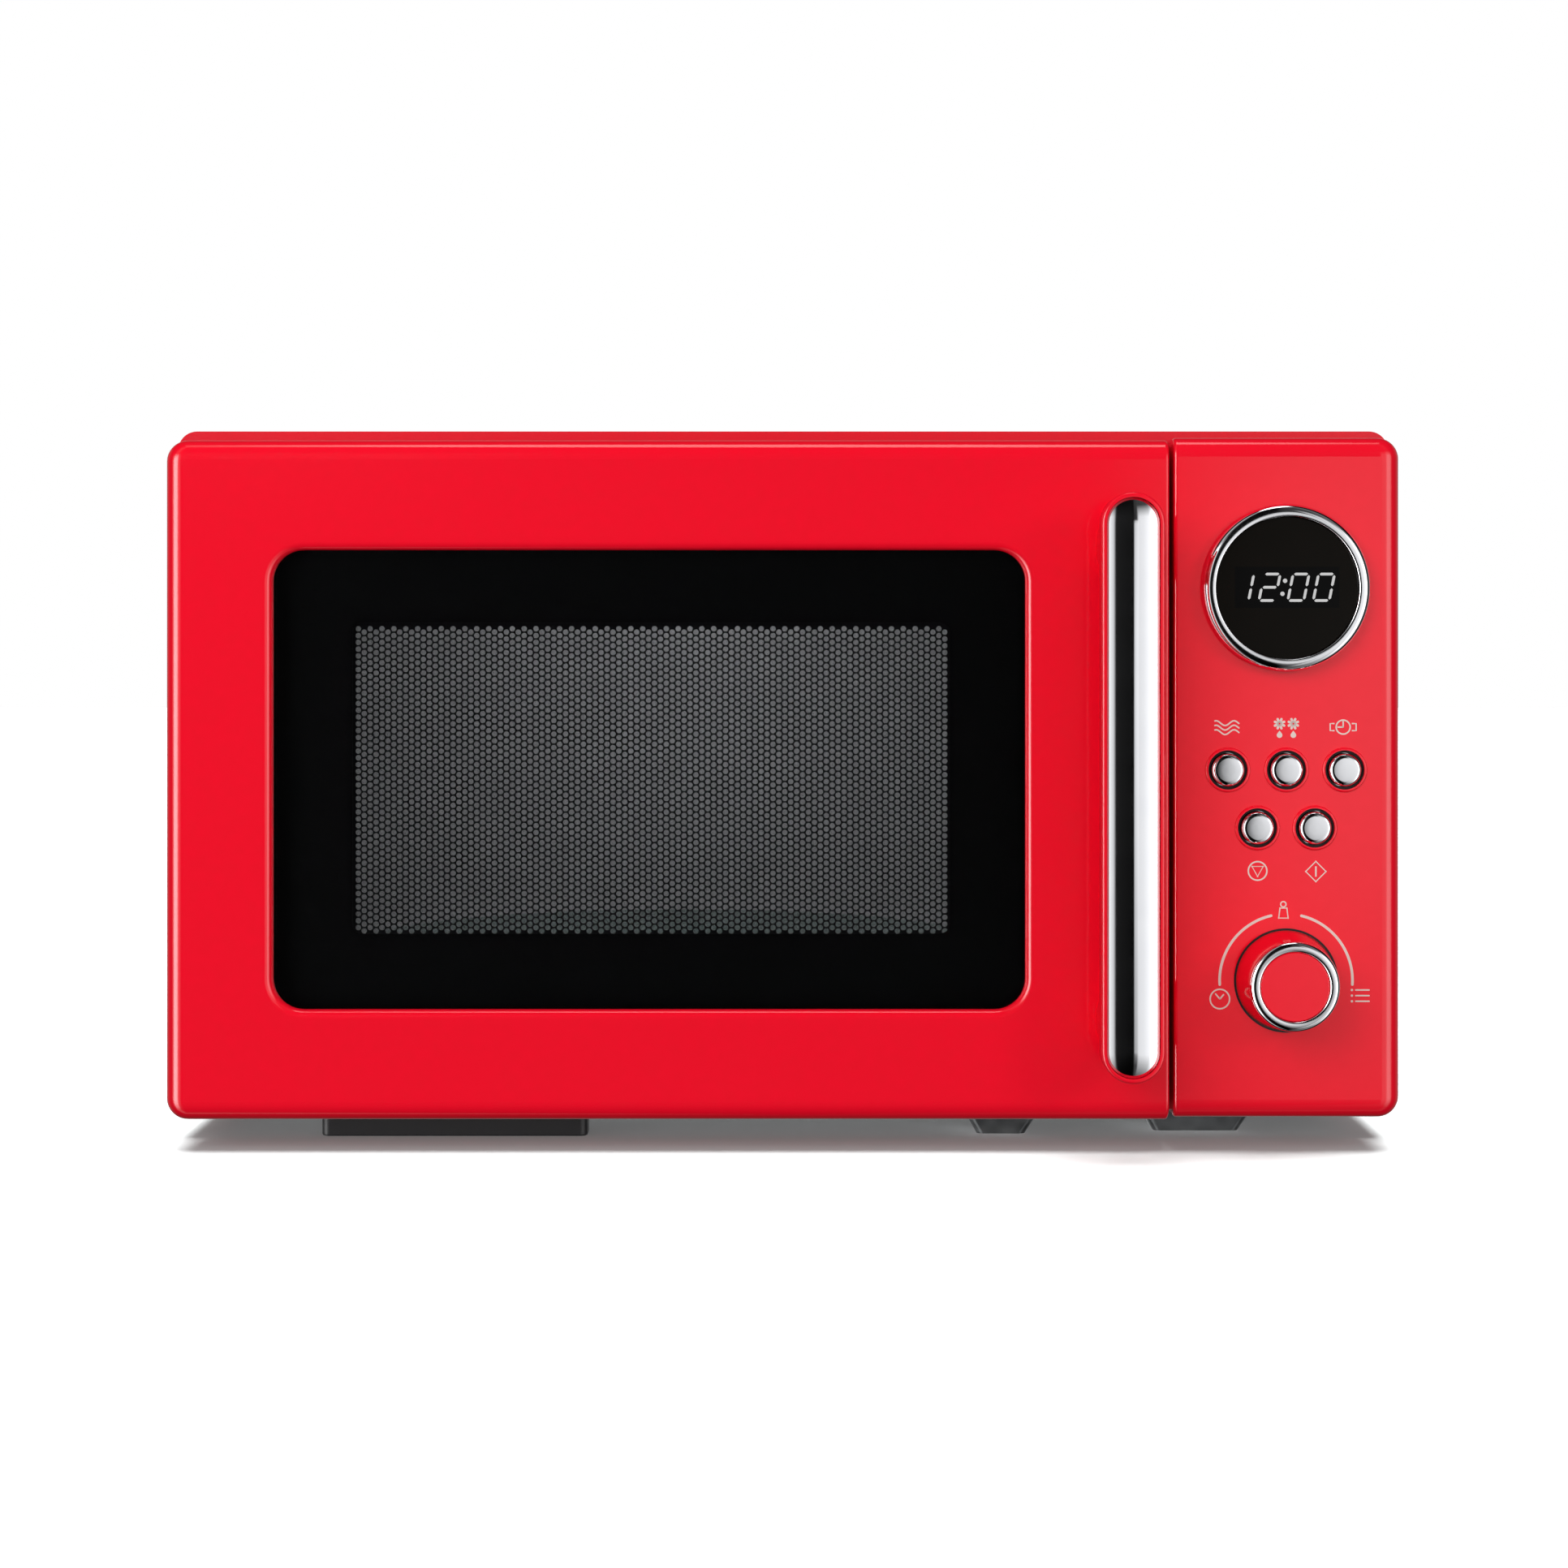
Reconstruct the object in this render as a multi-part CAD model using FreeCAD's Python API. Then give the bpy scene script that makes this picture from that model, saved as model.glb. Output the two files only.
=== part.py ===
import FreeCAD, Part
import math
import os

# Frame: millimetres, +X to the right seen from the front, +Y to the back, +Z up.
# The origin is the bottom centre of the whole oven, on the surface it stands on.

# Driving dimensions
front_width = 440.0          # door and control panel together
cabinet_width = 443.0
overall_height = 259.0
overall_depth = 357.0        # handle front to rear spacers
sheet = 0.8                  # pressed steel sheet
plastic_wall = 2.6           # moulded plastic side walls
front_wall = 3.7             # moulded plastic front walls
handle_reach = 33.0          # handle front, proud of the door face
spacer_reach = 6.0           # rear spacers, proud of the rear panel
cover_depth = 32.0           # door and control panel, front to back
door_width = 357.5
door_gap = 1.7
door_low, door_high = 11.5, 254.0
panel_low, panel_high = 12.4, 254.9
cover_corner = 7.6
cover_edge = 7.0             # rounding of the outer front edges
foot_height = 10.0
seam_gap = 1.0               # door back to front plate

# Planes and edges worked out from them
handle_front = -overall_depth / 2
face = handle_front + handle_reach
cover_back = face + cover_depth
plate_front = cover_back + seam_gap
plate_back = plate_front + 1.0
body_back = overall_depth / 2 - spacer_reach
left = -front_width / 2
right = front_width / 2
door_right = left + door_width
panel_left = door_right + door_gap
half_cabinet = cabinet_width / 2
pocket_front = face + front_wall
inner_side = half_cabinet - sheet
inner_top = overall_height - sheet
floor_low = foot_height + sheet

# Door window
window = {"x": (-181.4, 86.4), "z": (51.2, 214.7), "corner": 11.0, "edge": 3.0}
glass_lap = 7.0
glass_thickness = 3.0
screen_front = face + 8.0

# Door hinge and latch
hinge_x = left + 6.5
hinge_y = face + 22.5
hinge_pin_radius = 2.5
hinge_pin_length = 8.0
hinge_tongue = 2.0
hinge_edge = 8.0             # tongue, in from the door's top and bottom
running_gap = 0.05
latch_x = 127.5
latch_depth = 18.0  # the latch rod and its spring lie this far behind the face
latch_travel = 3.0
hook_heights = (85.0, 185.0)
keeper_drop = 2.6            # keeper top under the hook's datum; the barb reaches down 2.2

# Handle
handle_x = 121.3
handle_width = 21.9
handle_z = (29.7, 233.9)
handle_thickness = 12.5
post_height = 24.0
post_inset = 6.0

# Control panel
display_at = (178.5, 201.2)
bezel_radius = 29.6
lens_radius = 25.3
button_at = ((158.2, 136.6), (179.0, 136.6), (199.7, 136.6), (168.7, 116.0), (189.1, 116.0))
button_radius = 6.0
button_hole = 7.0
button_rim = 8.0
button_travel = 1.2
knob_at = (178.9, 61.8)
knob_base = 17.8
knob_crown = 15.8
knob_height = 21.0
board_front = face + 19.0
board_thickness = 1.6

# Oven cavity and turntable
cavity_x = (-200.0, 106.0)
cavity_z = (33.0, 233.0)
cavity_back = 160.0
turn_x = (cavity_x[0] + cavity_x[1]) / 2
turn_y = (plate_front + cavity_back) / 2
plate_radius = 127.5
roller_radius = 7.2
roller_track = 88.0
touch_gap = 0.3
roller_z = cavity_z[0] + touch_gap + roller_radius
glass_bottom = roller_z + roller_radius + touch_gap

# Fan and magnetron at the back of the right-hand compartment
fan_at = (163.0, 172.0)
fan_radius = 45.0
fan_plane = 137.0
magnetron_x = (142.0, 212.0)
magnetron_y = (-5.0, 80.0)
magnetron_z = (126.0, 214.0)


def box(x, y, z):
    """A block from three (low, high) pairs."""
    return Part.makeBox(x[1] - x[0], y[1] - y[0], z[1] - z[0], FreeCAD.Vector(x[0], y[0], z[0]))


def along_x(radius, x, y, z):
    return Part.makeCylinder(radius, x[1] - x[0], FreeCAD.Vector(x[0], y, z), FreeCAD.Vector(1, 0, 0))


def along_y(radius, y, x, z):
    return Part.makeCylinder(radius, y[1] - y[0], FreeCAD.Vector(x, y[0], z), FreeCAD.Vector(0, 1, 0))


def along_z(radius, z, x, y):
    return Part.makeCylinder(radius, z[1] - z[0], FreeCAD.Vector(x, y, z[0]))


def cone_y(radii, y, x, z):
    """A cone along Y from the low end's radius to the high end's."""
    axis = FreeCAD.Vector(0, 1, 0)
    return Part.makeCone(radii[0], radii[1], y[1] - y[0], FreeCAD.Vector(x, y[0], z), axis)


def rounded(low, high, radius, point, sweep):
    """A slab with four rounded corners: point(u, v) places its outline and sweep extrudes it."""
    (u0, v0), (u1, v1) = low, high
    mid = radius * (1 - math.sqrt(0.5))
    edges = []
    corners = (((u0 + radius, v0), (u0 + mid, v0 + mid), (u0, v0 + radius)),
               ((u0, v1 - radius), (u0 + mid, v1 - mid), (u0 + radius, v1)),
               ((u1 - radius, v1), (u1 - mid, v1 - mid), (u1, v1 - radius)),
               ((u1, v0 + radius), (u1 - mid, v0 + mid), (u1 - radius, v0)))
    for index, (start, middle, end) in enumerate(corners):
        edges.append(Part.Arc(point(*start), point(*middle), point(*end)).toShape())
        following = corners[(index + 1) % 4][0]
        if math.dist(end, following) > 1e-6:
            edges.append(Part.LineSegment(point(*end), point(*following)).toShape())
    return Part.Face(Part.Wire(edges)).extrude(sweep)


def slab_y(x, z, y, radius):
    """Rounded in front view, extruded front to back."""
    def point(u, v):
        return FreeCAD.Vector(u, y[0], v)
    return rounded((x[0], z[0]), (x[1], z[1]), radius, point, FreeCAD.Vector(0, y[1] - y[0], 0))


def slab_z(x, y, z, radius):
    """Rounded in top view, extruded upwards."""
    def point(u, v):
        return FreeCAD.Vector(u, v, z[0])
    return rounded((x[0], y[0]), (x[1], y[1]), radius, point, FreeCAD.Vector(0, 0, z[1] - z[0]))


def slab_x(y, z, x, radius):
    """Rounded in side view, extruded to the right."""
    def point(u, v):
        return FreeCAD.Vector(x[0], u, v)
    return rounded((y[0], z[0]), (y[1], z[1]), radius, point, FreeCAD.Vector(x[1] - x[0], 0, 0))


def turned(profile, centre, axis):
    """A closed (radius, distance along the axis) outline turned about an axis from centre."""
    axis = FreeCAD.Vector(*axis)
    centre = FreeCAD.Vector(*centre)
    side = FreeCAD.Vector(1, 0, 0) if abs(axis.x) < 0.5 else FreeCAD.Vector(0, 0, 1)
    points = [centre + side * radius + axis * distance for radius, distance in profile]
    face_shape = Part.Face(Part.makePolygon(points + points[:1]))
    return face_shape.revolve(centre, axis, 360)


def edges_where(shape, test):
    return [edge for edge in shape.Edges if test(edge.BoundBox)]


def joined(first, *others):
    return first.fuse(list(others)).removeSplitter()


def solids(*shapes):
    return Part.makeCompound(list(shapes))


def save(name, shape):
    if not shape.isValid():
        print("not valid:", name)
    print(name, len(shape.Solids), "solid(s)", round(shape.Volume / 1000, 2), "cm3")
    shape.exportStep("parts/" + name + ".step")


def cover_shell(x, z, flat_side):
    """A moulded front cover: outer edges rounded, the edge by the seam left almost square."""
    past = 20.0
    wide = (x[0], x[1] + past) if flat_side == "right" else (x[0] - past, x[1])
    body = slab_y(wide, z, (face, cover_back), cover_corner)
    body = body.makeFillet(cover_edge, edges_where(body, lambda b: b.YMax < face + 0.01))
    body = body.common(box(x, (face, cover_back), z))
    seam = x[1] if flat_side == "right" else x[0]

    def on_seam(b):
        return abs(b.XMin - seam) < 0.01 and abs(b.XMax - seam) < 0.01 and b.YMin < face + cover_edge
    front_edges = edges_where(body, lambda b: on_seam(b) and b.YMax < face + cover_edge + 0.01)
    body = body.makeFillet(1.2, front_edges)
    pocket = slab_y((x[0] + plastic_wall, x[1] - plastic_wall), (z[0] + plastic_wall, z[1] - plastic_wall),
                    (pocket_front, cover_back), cover_corner - plastic_wall)
    return body.cut(pocket)


# Cabinet, panels and feet

def cabinet():
    depth = (plate_front, body_back)
    outer = slab_y((-half_cabinet, half_cabinet), (foot_height - 20, overall_height), depth, 7.0)
    inner = slab_y((-inner_side, inner_side), (foot_height - 30, inner_top), depth, 7.0 - sheet)
    keep = box((-half_cabinet, half_cabinet), depth, (foot_height, overall_height))
    shell = outer.cut(inner).common(keep)
    flange = 10.0
    low = (foot_height, floor_low)
    lips = [box((-half_cabinet, -half_cabinet + flange), depth, low),
            box((half_cabinet - flange, half_cabinet), depth, low)]
    return joined(shell, *lips)


def upright_sheet(half, top, y, radius):
    """A plate across Y inside the cabinet: top corners rounded, bottom corners square."""
    taller = slab_y((-half, half), (floor_low - 20, top), y, radius)
    return taller.common(box((-half, half), y, (floor_low, top)))


def vent_slots(x, z, length, pitch, y):
    """A grid of upright rounded slots through a wall that lies across Y."""
    width = 3.0
    slots = []
    columns = int((x[1] - x[0]) / pitch)
    rows = int((z[1] - z[0]) / (length + 5.0))
    for column in range(columns):
        for row in range(rows):
            low_x = x[0] + column * pitch
            low_z = z[0] + row * (length + 5.0)
            slots.append(slab_y((low_x, low_x + width), (low_z, low_z + length), y, width / 2 - 0.01))
    return slots


def rear_panel():
    y = (body_back - sheet, body_back)
    plate = upright_sheet(inner_side, inner_top, y, 6.2)
    flange = box((-inner_side + 8, inner_side - 8), (y[0] - 9, y[0]), (inner_top - sheet, inner_top))
    spacers = []
    for x, z in ((-150.0, 214.0), (60.0, 214.0), (-50.0, 60.0)):
        bump = cone_y((14.0, 10.0), (body_back, overall_depth / 2), x, z)
        bump = bump.cut(cone_y((13.0, 9.0), (body_back, overall_depth / 2 - sheet), x, z))
        spacers.append(bump)
    hole = along_y(9.0, (y[0] - 1, y[1] + 1), 192.0, 34.0)
    shape = joined(plate, flange, *spacers)
    cuts = vent_slots((122.0, 206.0), (134.0, 214.0), 15.0, 6.0, (y[0] - 1, y[1] + 1))
    return shape.cut(cuts + [hole])


def foot_boss(x, y, height):
    """A pressed foot: a hollow trapezoid bump under the base plate."""
    low, high = floor_low - height, floor_low
    slope = 6.0

    def frustum(grow, bottom, top):
        def ring(inset, z):
            near = slope - inset
            points = [FreeCAD.Vector(x[0] - near - grow, y[0] - near - grow, z),
                      FreeCAD.Vector(x[1] + near + grow, y[0] - near - grow, z),
                      FreeCAD.Vector(x[1] + near + grow, y[1] + near + grow, z),
                      FreeCAD.Vector(x[0] - near - grow, y[1] + near + grow, z)]
            return Part.makePolygon(points + points[:1])
        return Part.makeLoft([ring(slope, bottom), ring(0, top)], True, True)
    outer = frustum(0, low, high)
    edges = edges_where(outer, lambda b: b.ZMax - b.ZMin > 1)
    outer = outer.makeFillet(3.0, edges)
    inner = frustum(-sheet, low + sheet, high)
    inner = inner.makeFillet(2.4, edges_where(inner, lambda b: b.ZMax - b.ZMin > 1))
    return outer, inner


def base_plate():
    z = (floor_low, floor_low + sheet)
    y = (plate_back, body_back - sheet)
    shape = box((-inner_side, inner_side), y, z)
    bosses = (((71.5, 89.6), (-101.0, -88.0)), ((137.6, 169.4), (-94.0, -76.0)))
    for x_pair, y_pair in bosses:
        outer, inner = foot_boss(x_pair, y_pair, floor_low)
        shape = joined(shape, outer)
        well = box((x_pair[0] - 5, x_pair[1] + 5), (y_pair[0] - 5, y_pair[1] + 5), (floor_low - 0.5, z[1] + 1))
        shape = shape.cut(inner).cut(well)
    slots = []
    slot_count, slot_pitch, slot_width, first_slot = 12, 10.0, 4.0, -185.0
    for column in range(slot_count):
        x = first_slot + column * slot_pitch
        slots.append(slab_z((x, x + slot_width), (90.0, 130.0), (z[0] - 1, z[1] + 1), slot_width / 2 - 0.1))
    return shape.cut(slots)


def front_foot_bar():
    bar = box((-170.0, -72.0), (-107.0, -95.0), (0.0, floor_low))
    bar = bar.makeFillet(3.0, edges_where(bar, lambda b: b.ZMax - b.ZMin > 5))
    return bar.makeFillet(0.8, edges_where(bar, lambda b: b.ZMax < 0.01))


def rear_feet():
    feet = []
    for x in (-165.0, 165.0):
        foot = Part.makeCone(9.0, 10.5, floor_low, FreeCAD.Vector(x, 140.0, 0))
        feet.append(foot.makeFillet(1.0, edges_where(foot, lambda b: b.ZMax < 0.01)))
    return solids(*feet)


def hinge_tongue_z(top):
    """Low and high of the hinge tongue at the door's top or bottom."""
    if top:
        return (door_high - hinge_edge, door_high - hinge_edge + hinge_tongue)
    return (door_low + hinge_edge - hinge_tongue, door_low + hinge_edge)


def front_plate():
    y = (plate_front, plate_back)
    plate = upright_sheet(inner_side, inner_top, y, 6.2)
    rim_depth = (plate_back, plate_back + 10.0)
    rim = upright_sheet(inner_side, inner_top, rim_depth, 6.2)
    rim = rim.cut(upright_sheet(inner_side - sheet, inner_top - sheet, rim_depth, 5.4))
    rim = rim.cut(box((-inner_side, inner_side), rim_depth, (floor_low, floor_low + sheet)))
    cuts = [box(cavity_x, (y[0] - 1, y[1] + 1), cavity_z)]
    for low in hook_heights:
        cuts.append(box((latch_x - 5, latch_x + 6), (y[0] - 1, y[1] + 1), (low - 8, low + 14)))
    for top_hinge in (True, False):
        low, high = hinge_tongue_z(top_hinge)
        tongue = (hinge_x - 6.5, hinge_x + 6.5)
        cuts.append(box(tongue, (y[0] - 1, y[1] + 1), (low - 0.3, high + 0.3)))
    wiring = box((150.0, 206.0), (y[0] - 1, y[1] + 1), (36.0, 236.0))
    return joined(plate, rim).cut(cuts + [wiring])


def hinge_brackets():
    brackets = []
    for top_hinge in (True, False):
        low, high = hinge_tongue_z(top_hinge)
        half = 6.0
        tongue = box((hinge_x - half, hinge_x + half), (hinge_y, plate_back + 1.5), (low, high))
        nose = along_z(half, (low, high), hinge_x, hinge_y)
        flange_z = (high - 26.0, high + 4.0) if top_hinge else (low - 4.0, low + 26.0)
        flange_z = (max(flange_z[0], floor_low + 2 * sheet), flange_z[1])
        flange = box((hinge_x - half, hinge_x + 12.0), (plate_back, plate_back + 1.5), flange_z)
        pin_z = (low - hinge_pin_length, low) if top_hinge else (high, high + hinge_pin_length)
        pin = along_z(hinge_pin_radius, pin_z, hinge_x, hinge_y)
        brackets.append(joined(tongue, nose, flange, pin))
    return solids(*brackets)


# Oven cavity and the parts round it

def cavity():
    outer = box((cavity_x[0] - sheet, cavity_x[1] + sheet), (plate_back, cavity_back + sheet),
                (cavity_z[0] - sheet, cavity_z[1] + sheet))
    inner = box(cavity_x, (plate_back - 1, cavity_back), cavity_z)
    shape = outer.cut(inner)
    wall_x = (cavity_x[1] - 1, cavity_x[1] + sheet + 1)
    cuts = [along_z(8.0, (cavity_z[0] - 2, cavity_z[0] + 1), turn_x, turn_y),
            box(wall_x, (4.0, 72.0), (146.0, 198.0))]
    for row in range(5):
        for column in range(5):
            cuts.append(along_x(1.5, wall_x, 98.0 + 5 * column, 196.0 + 5 * row))
            cuts.append(along_x(2.0, wall_x, -70.0 + 7 * column, 170.0 + 7 * row))
    for column in range(10):
        for row in range(4):
            outlet_x = (cavity_x[0] - 2, cavity_x[0] + 1)
            cuts.append(along_x(2.0, outlet_x, 70.0 + 7 * column, 190.0 + 7 * row))
    return shape.cut(cuts)


def waveguide():
    x = (cavity_x[1] + sheet, magnetron_x[0])
    outer = box(x, (-2.0, 78.0), (140.0, 204.0))
    inner = box((x[0] - 1, x[1] - sheet), (-2.0 + sheet, 78.0 - sheet), (140.0 + sheet, 204.0 - sheet))
    antenna = along_x(10.5, (x[1] - 2, x[1] + 1), 38.0, 172.0)
    return outer.cut(inner).cut(antenna)


def waveguide_cover():
    cover = slab_x((0.0, 76.0), (142.0, 202.0), (cavity_x[1] - 0.6, cavity_x[1]), 4.0)
    return cover


def magnetron_yoke():
    outer = box(magnetron_x, magnetron_y, magnetron_z)
    inner = box((magnetron_x[0] + 1.5, magnetron_x[1] - 1.5),
                (magnetron_y[0] - 1, magnetron_y[1] + 1), (magnetron_z[0] + 1.5, magnetron_z[1] - 1.5))
    return outer.cut(inner).cut(along_x(10.5, (magnetron_x[0] - 1, magnetron_x[0] + 3), 38.0, 172.0))


def magnetron_tube():
    tube = along_x(19.0, (magnetron_x[0] + 6, magnetron_x[1] - 6), 38.0, 172.0)
    antenna = along_x(9.0, (magnetron_x[0] - 22, magnetron_x[0] + 7), 38.0, 172.0)
    fins = []
    for index in range(7):
        low = magnetron_x[0] + 11.0 + index * 7.5
        fins.append(box((low, low + 0.8), (magnetron_y[0] + 2, magnetron_y[1] - 2),
                        (magnetron_z[0] + 1.5, magnetron_z[1] - 1.5)))
    return joined(tube, antenna, *fins)


def transformer_core():
    z = (floor_low + sheet, floor_low + sheet + 66.0)
    block = box((128.0, 212.0), (12.0, 62.0), z)
    cuts = []
    for low in (142.0, 184.0):
        cuts.append(box((low, low + 14.0), (11.0, 63.0), (z[0] + 14, z[1] - 14)))
    return block.cut(cuts)


def transformer_coils():
    floor_z = floor_low + sheet
    coils = []
    for low, high in ((16.0, 31.0), (35.0, 50.0)):
        outer = slab_z((143.0, 197.0), (-1.0, 75.0), (floor_z + low, floor_z + high), 8.0)
        inner = box((156.0 - 0.2, 184.0 + 0.2), (12.0 - 0.2, 62.0 + 0.2), (floor_z, floor_z + 66))
        coils.append(outer.cut(inner))
    return solids(*coils)


def capacitor():
    low = floor_low + sheet
    can = slab_y((150.0, 202.0), (low, low + 32.0), (92.0, 158.0), 15.9)
    tabs = [box((x, x + 6.0), (84.0, 92.0), (low + 15.6, low + 16.4)) for x in (162.0, 184.0)]
    return joined(can, *tabs)


def hv_diode():
    body = along_y(4.0, (96.0, 116.0), 138.0, 20.0)
    lead = along_y(0.8, (88.0, 96.0), 138.0, 20.0)
    eye = box((133.0, 143.0), (116.0, 124.0), (floor_low + sheet, 20.0))
    return joined(body, lead, eye)


def fan_shroud():
    """Plate with a round mouth, a bridge behind the blades for the motor, and four posts to the rear panel."""
    x, z = fan_at
    front, bridge_y = fan_plane - 12, fan_plane + 15.5
    plate = box((114.0, 214.0), (front, front + 2), (122.0, 222.0))
    ring = along_y(fan_radius + 5, (front + 2, bridge_y), x, z)
    shape = joined(plate, ring).cut(along_y(fan_radius + 2.5, (front - 1, bridge_y + 1), x, z))
    arms = box((x - 50, x + 50), (bridge_y, bridge_y + 3), (z - 5, z + 5))
    seat = along_y(12.0, (bridge_y, bridge_y + 3), x, z)
    bridge = joined(arms, seat).cut(along_y(4.0, (bridge_y - 1, bridge_y + 4), x, z))
    posts = [along_y(3.0, (front + 1, body_back - sheet), post_x, post_z)
             for post_x in (118.0, 210.0) for post_z in (126.0, 218.0)]
    return joined(shape, bridge, *posts)


def fan_motor():
    x, z = fan_at
    y = (fan_plane + 18.5, fan_plane + 31.5)
    block = box((x - 24, x + 24), y, (z - 20, z + 20))
    block = block.makeFillet(4.0, edges_where(block, lambda b: b.YMax - b.YMin > 5))
    return block.cut(along_y(1.5 + running_gap, (y[0] - 1, y[0] + 10), x, z))


def fan_blade():
    x, z = fan_at
    hub = along_y(11.0, (fan_plane - 7, fan_plane + 7), x, z)
    shaft = along_y(1.5, (fan_plane + 7, fan_plane + 24), x, z)
    blades = []
    for index in range(5):
        blade = box((10.0, fan_radius), (-0.9, 0.9), (-15.0, 15.0))
        blade = blade.makeFillet(8.0, edges_where(blade, lambda b: b.XMin > fan_radius - 1 and b.YMax - b.YMin > 1))
        blade.rotate(FreeCAD.Vector(0, 0, 0), FreeCAD.Vector(1, 0, 0), 62)
        blade.translate(FreeCAD.Vector(x, fan_plane, z))
        blade.rotate(FreeCAD.Vector(x, fan_plane, z), FreeCAD.Vector(0, 1, 0), 72 * index)
        blades.append(blade)
    return joined(hub, shaft, *blades)


def oven_lamp():
    wall = cavity_x[1] + sheet
    socket = along_x(9.0, (wall + 14, wall + 24), 108.0, 206.0)
    bulb = along_x(6.5, (wall + 3, wall + 14), 108.0, 206.0)
    bulb = bulb.makeFillet(3.0, edges_where(bulb, lambda b: b.XMax < wall + 3.01))
    arm = box((wall, wall + 24), (104.0, 112.0), (214.0, 215.2))
    flange = box((wall, wall + 1.2), (104.0, 112.0), (215.2, 226.0))
    return joined(socket, bulb, arm, flange)


def turntable_motor():
    top = cavity_z[0] - sheet
    can = along_z(24.0, (top - 15, top), turn_x, turn_y)
    ears = box((turn_x - 32, turn_x + 32), (turn_y - 5, turn_y + 5), (top - 1, top))
    return joined(can, ears).cut(along_z(3.0 + running_gap, (top - 12, top + 1), turn_x, turn_y))


def latch_bracket():
    """Plastic frame behind the front plate, with one hook pocket and keeper for each latch hook."""
    y = (plate_back, plate_back + 24.0)
    shape = box((latch_x - 13, latch_x + 11), y, (68.0, 208.0))
    cuts = []
    for low in hook_heights:
        cuts.append(box((latch_x - 5, latch_x + 6), (y[0] - 1, y[1] - 3), (low - keeper_drop, low + 14)))
        cuts.append(box((latch_x - 5, latch_x + 6), (y[0] + 7, y[1] - 3), (low - 8, low)))
        cuts.append(box((latch_x + 5, latch_x + 12), (y[0] + 10, y[1] - 3), (low - 6, low + 12)))
    cuts.append(box((latch_x - 9, latch_x + 12), (y[0] - 1, y[1] - 3), (108.0, 172.0)))
    return shape.cut(cuts)


def microswitches():
    """Three interlock switches on the right of the latch bracket."""
    switches = []
    for low in (81.0, 132.0, 181.0):
        body = box((latch_x + 11.0, latch_x + 21.0), (-108.0, -92.0), (low - 6, low + 22))
        body = body.makeFillet(1.0, edges_where(body, lambda b: b.XMax - b.XMin > 5))
        plunger = box((latch_x + 8.0, latch_x + 11.0), (-101.5, -99.0), (low + 2, low + 5))
        tabs = [box((latch_x + 21, latch_x + 27), (-103.0, -97.0), (z, z + 0.8)) for z in (low, low + 16)]
        switches.append(joined(body, plunger, *tabs))
    return solids(*switches)


def filter_board():
    """Mains filter board on four standoffs over the cavity roof."""
    roof = cavity_z[1] + sheet
    z = (roof + 4.0, roof + 5.6)
    board = box((20.0, 96.0), (90.0, 145.0), z)
    standoffs = [along_z(2.5, (roof, z[0]), x, y) for x in (25.0, 91.0) for y in (95.0, 140.0)]
    fuse = along_x(3.2, (30.0, 52.0), 100.0, z[1] + 3.0)
    choke = along_z(9.0, (z[1], z[1] + 12.0), 76.0, 112.0)
    relay = box((34.0, 54.0), (116.0, 132.0), (z[1], z[1] + 14.0))
    return joined(board, fuse, choke, relay, *standoffs)


def thermal_cutouts():
    on_cavity = along_z(8.0, (cavity_z[1] + sheet, cavity_z[1] + sheet + 8), 60.0, 60.0)
    on_magnetron = along_z(8.0, (magnetron_z[1], magnetron_z[1] + 8), 178.0, 30.0)
    return solids(on_cavity, on_magnetron)


def cord_grommet():
    """The strain bush that the mains lead would leave by."""
    x, z = 192.0, 34.0
    body = joined(along_y(13.0, (body_back, body_back + 2.5), x, z),
                  along_y(9.0, (body_back - sheet - 3, body_back), x, z),
                  along_y(11.0, (body_back - sheet - 3, body_back - sheet), x, z))
    return body.cut(along_y(4.0, (body_back - 10, body_back + 5), x, z))


def cabinet_screws():
    """Screws through the cabinet's side and into the rear panel's rim."""
    screws = []
    for x in (-190.0, -70.0, 70.0, 190.0):
        head = along_y(3.6, (body_back, body_back + 2.2), x, 246.0)
        head = head.makeFillet(1.0, edges_where(head, lambda b: b.YMin > body_back + 2))
        slot = box((x - 2.4, x + 2.4), (body_back + 1.4, body_back + 3), (245.5, 246.5))
        cross = box((x - 0.5, x + 0.5), (body_back + 1.4, body_back + 3), (243.6, 248.4))
        screws.append(head.cut([slot, cross]))
    return solids(*screws)


# Door

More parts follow.
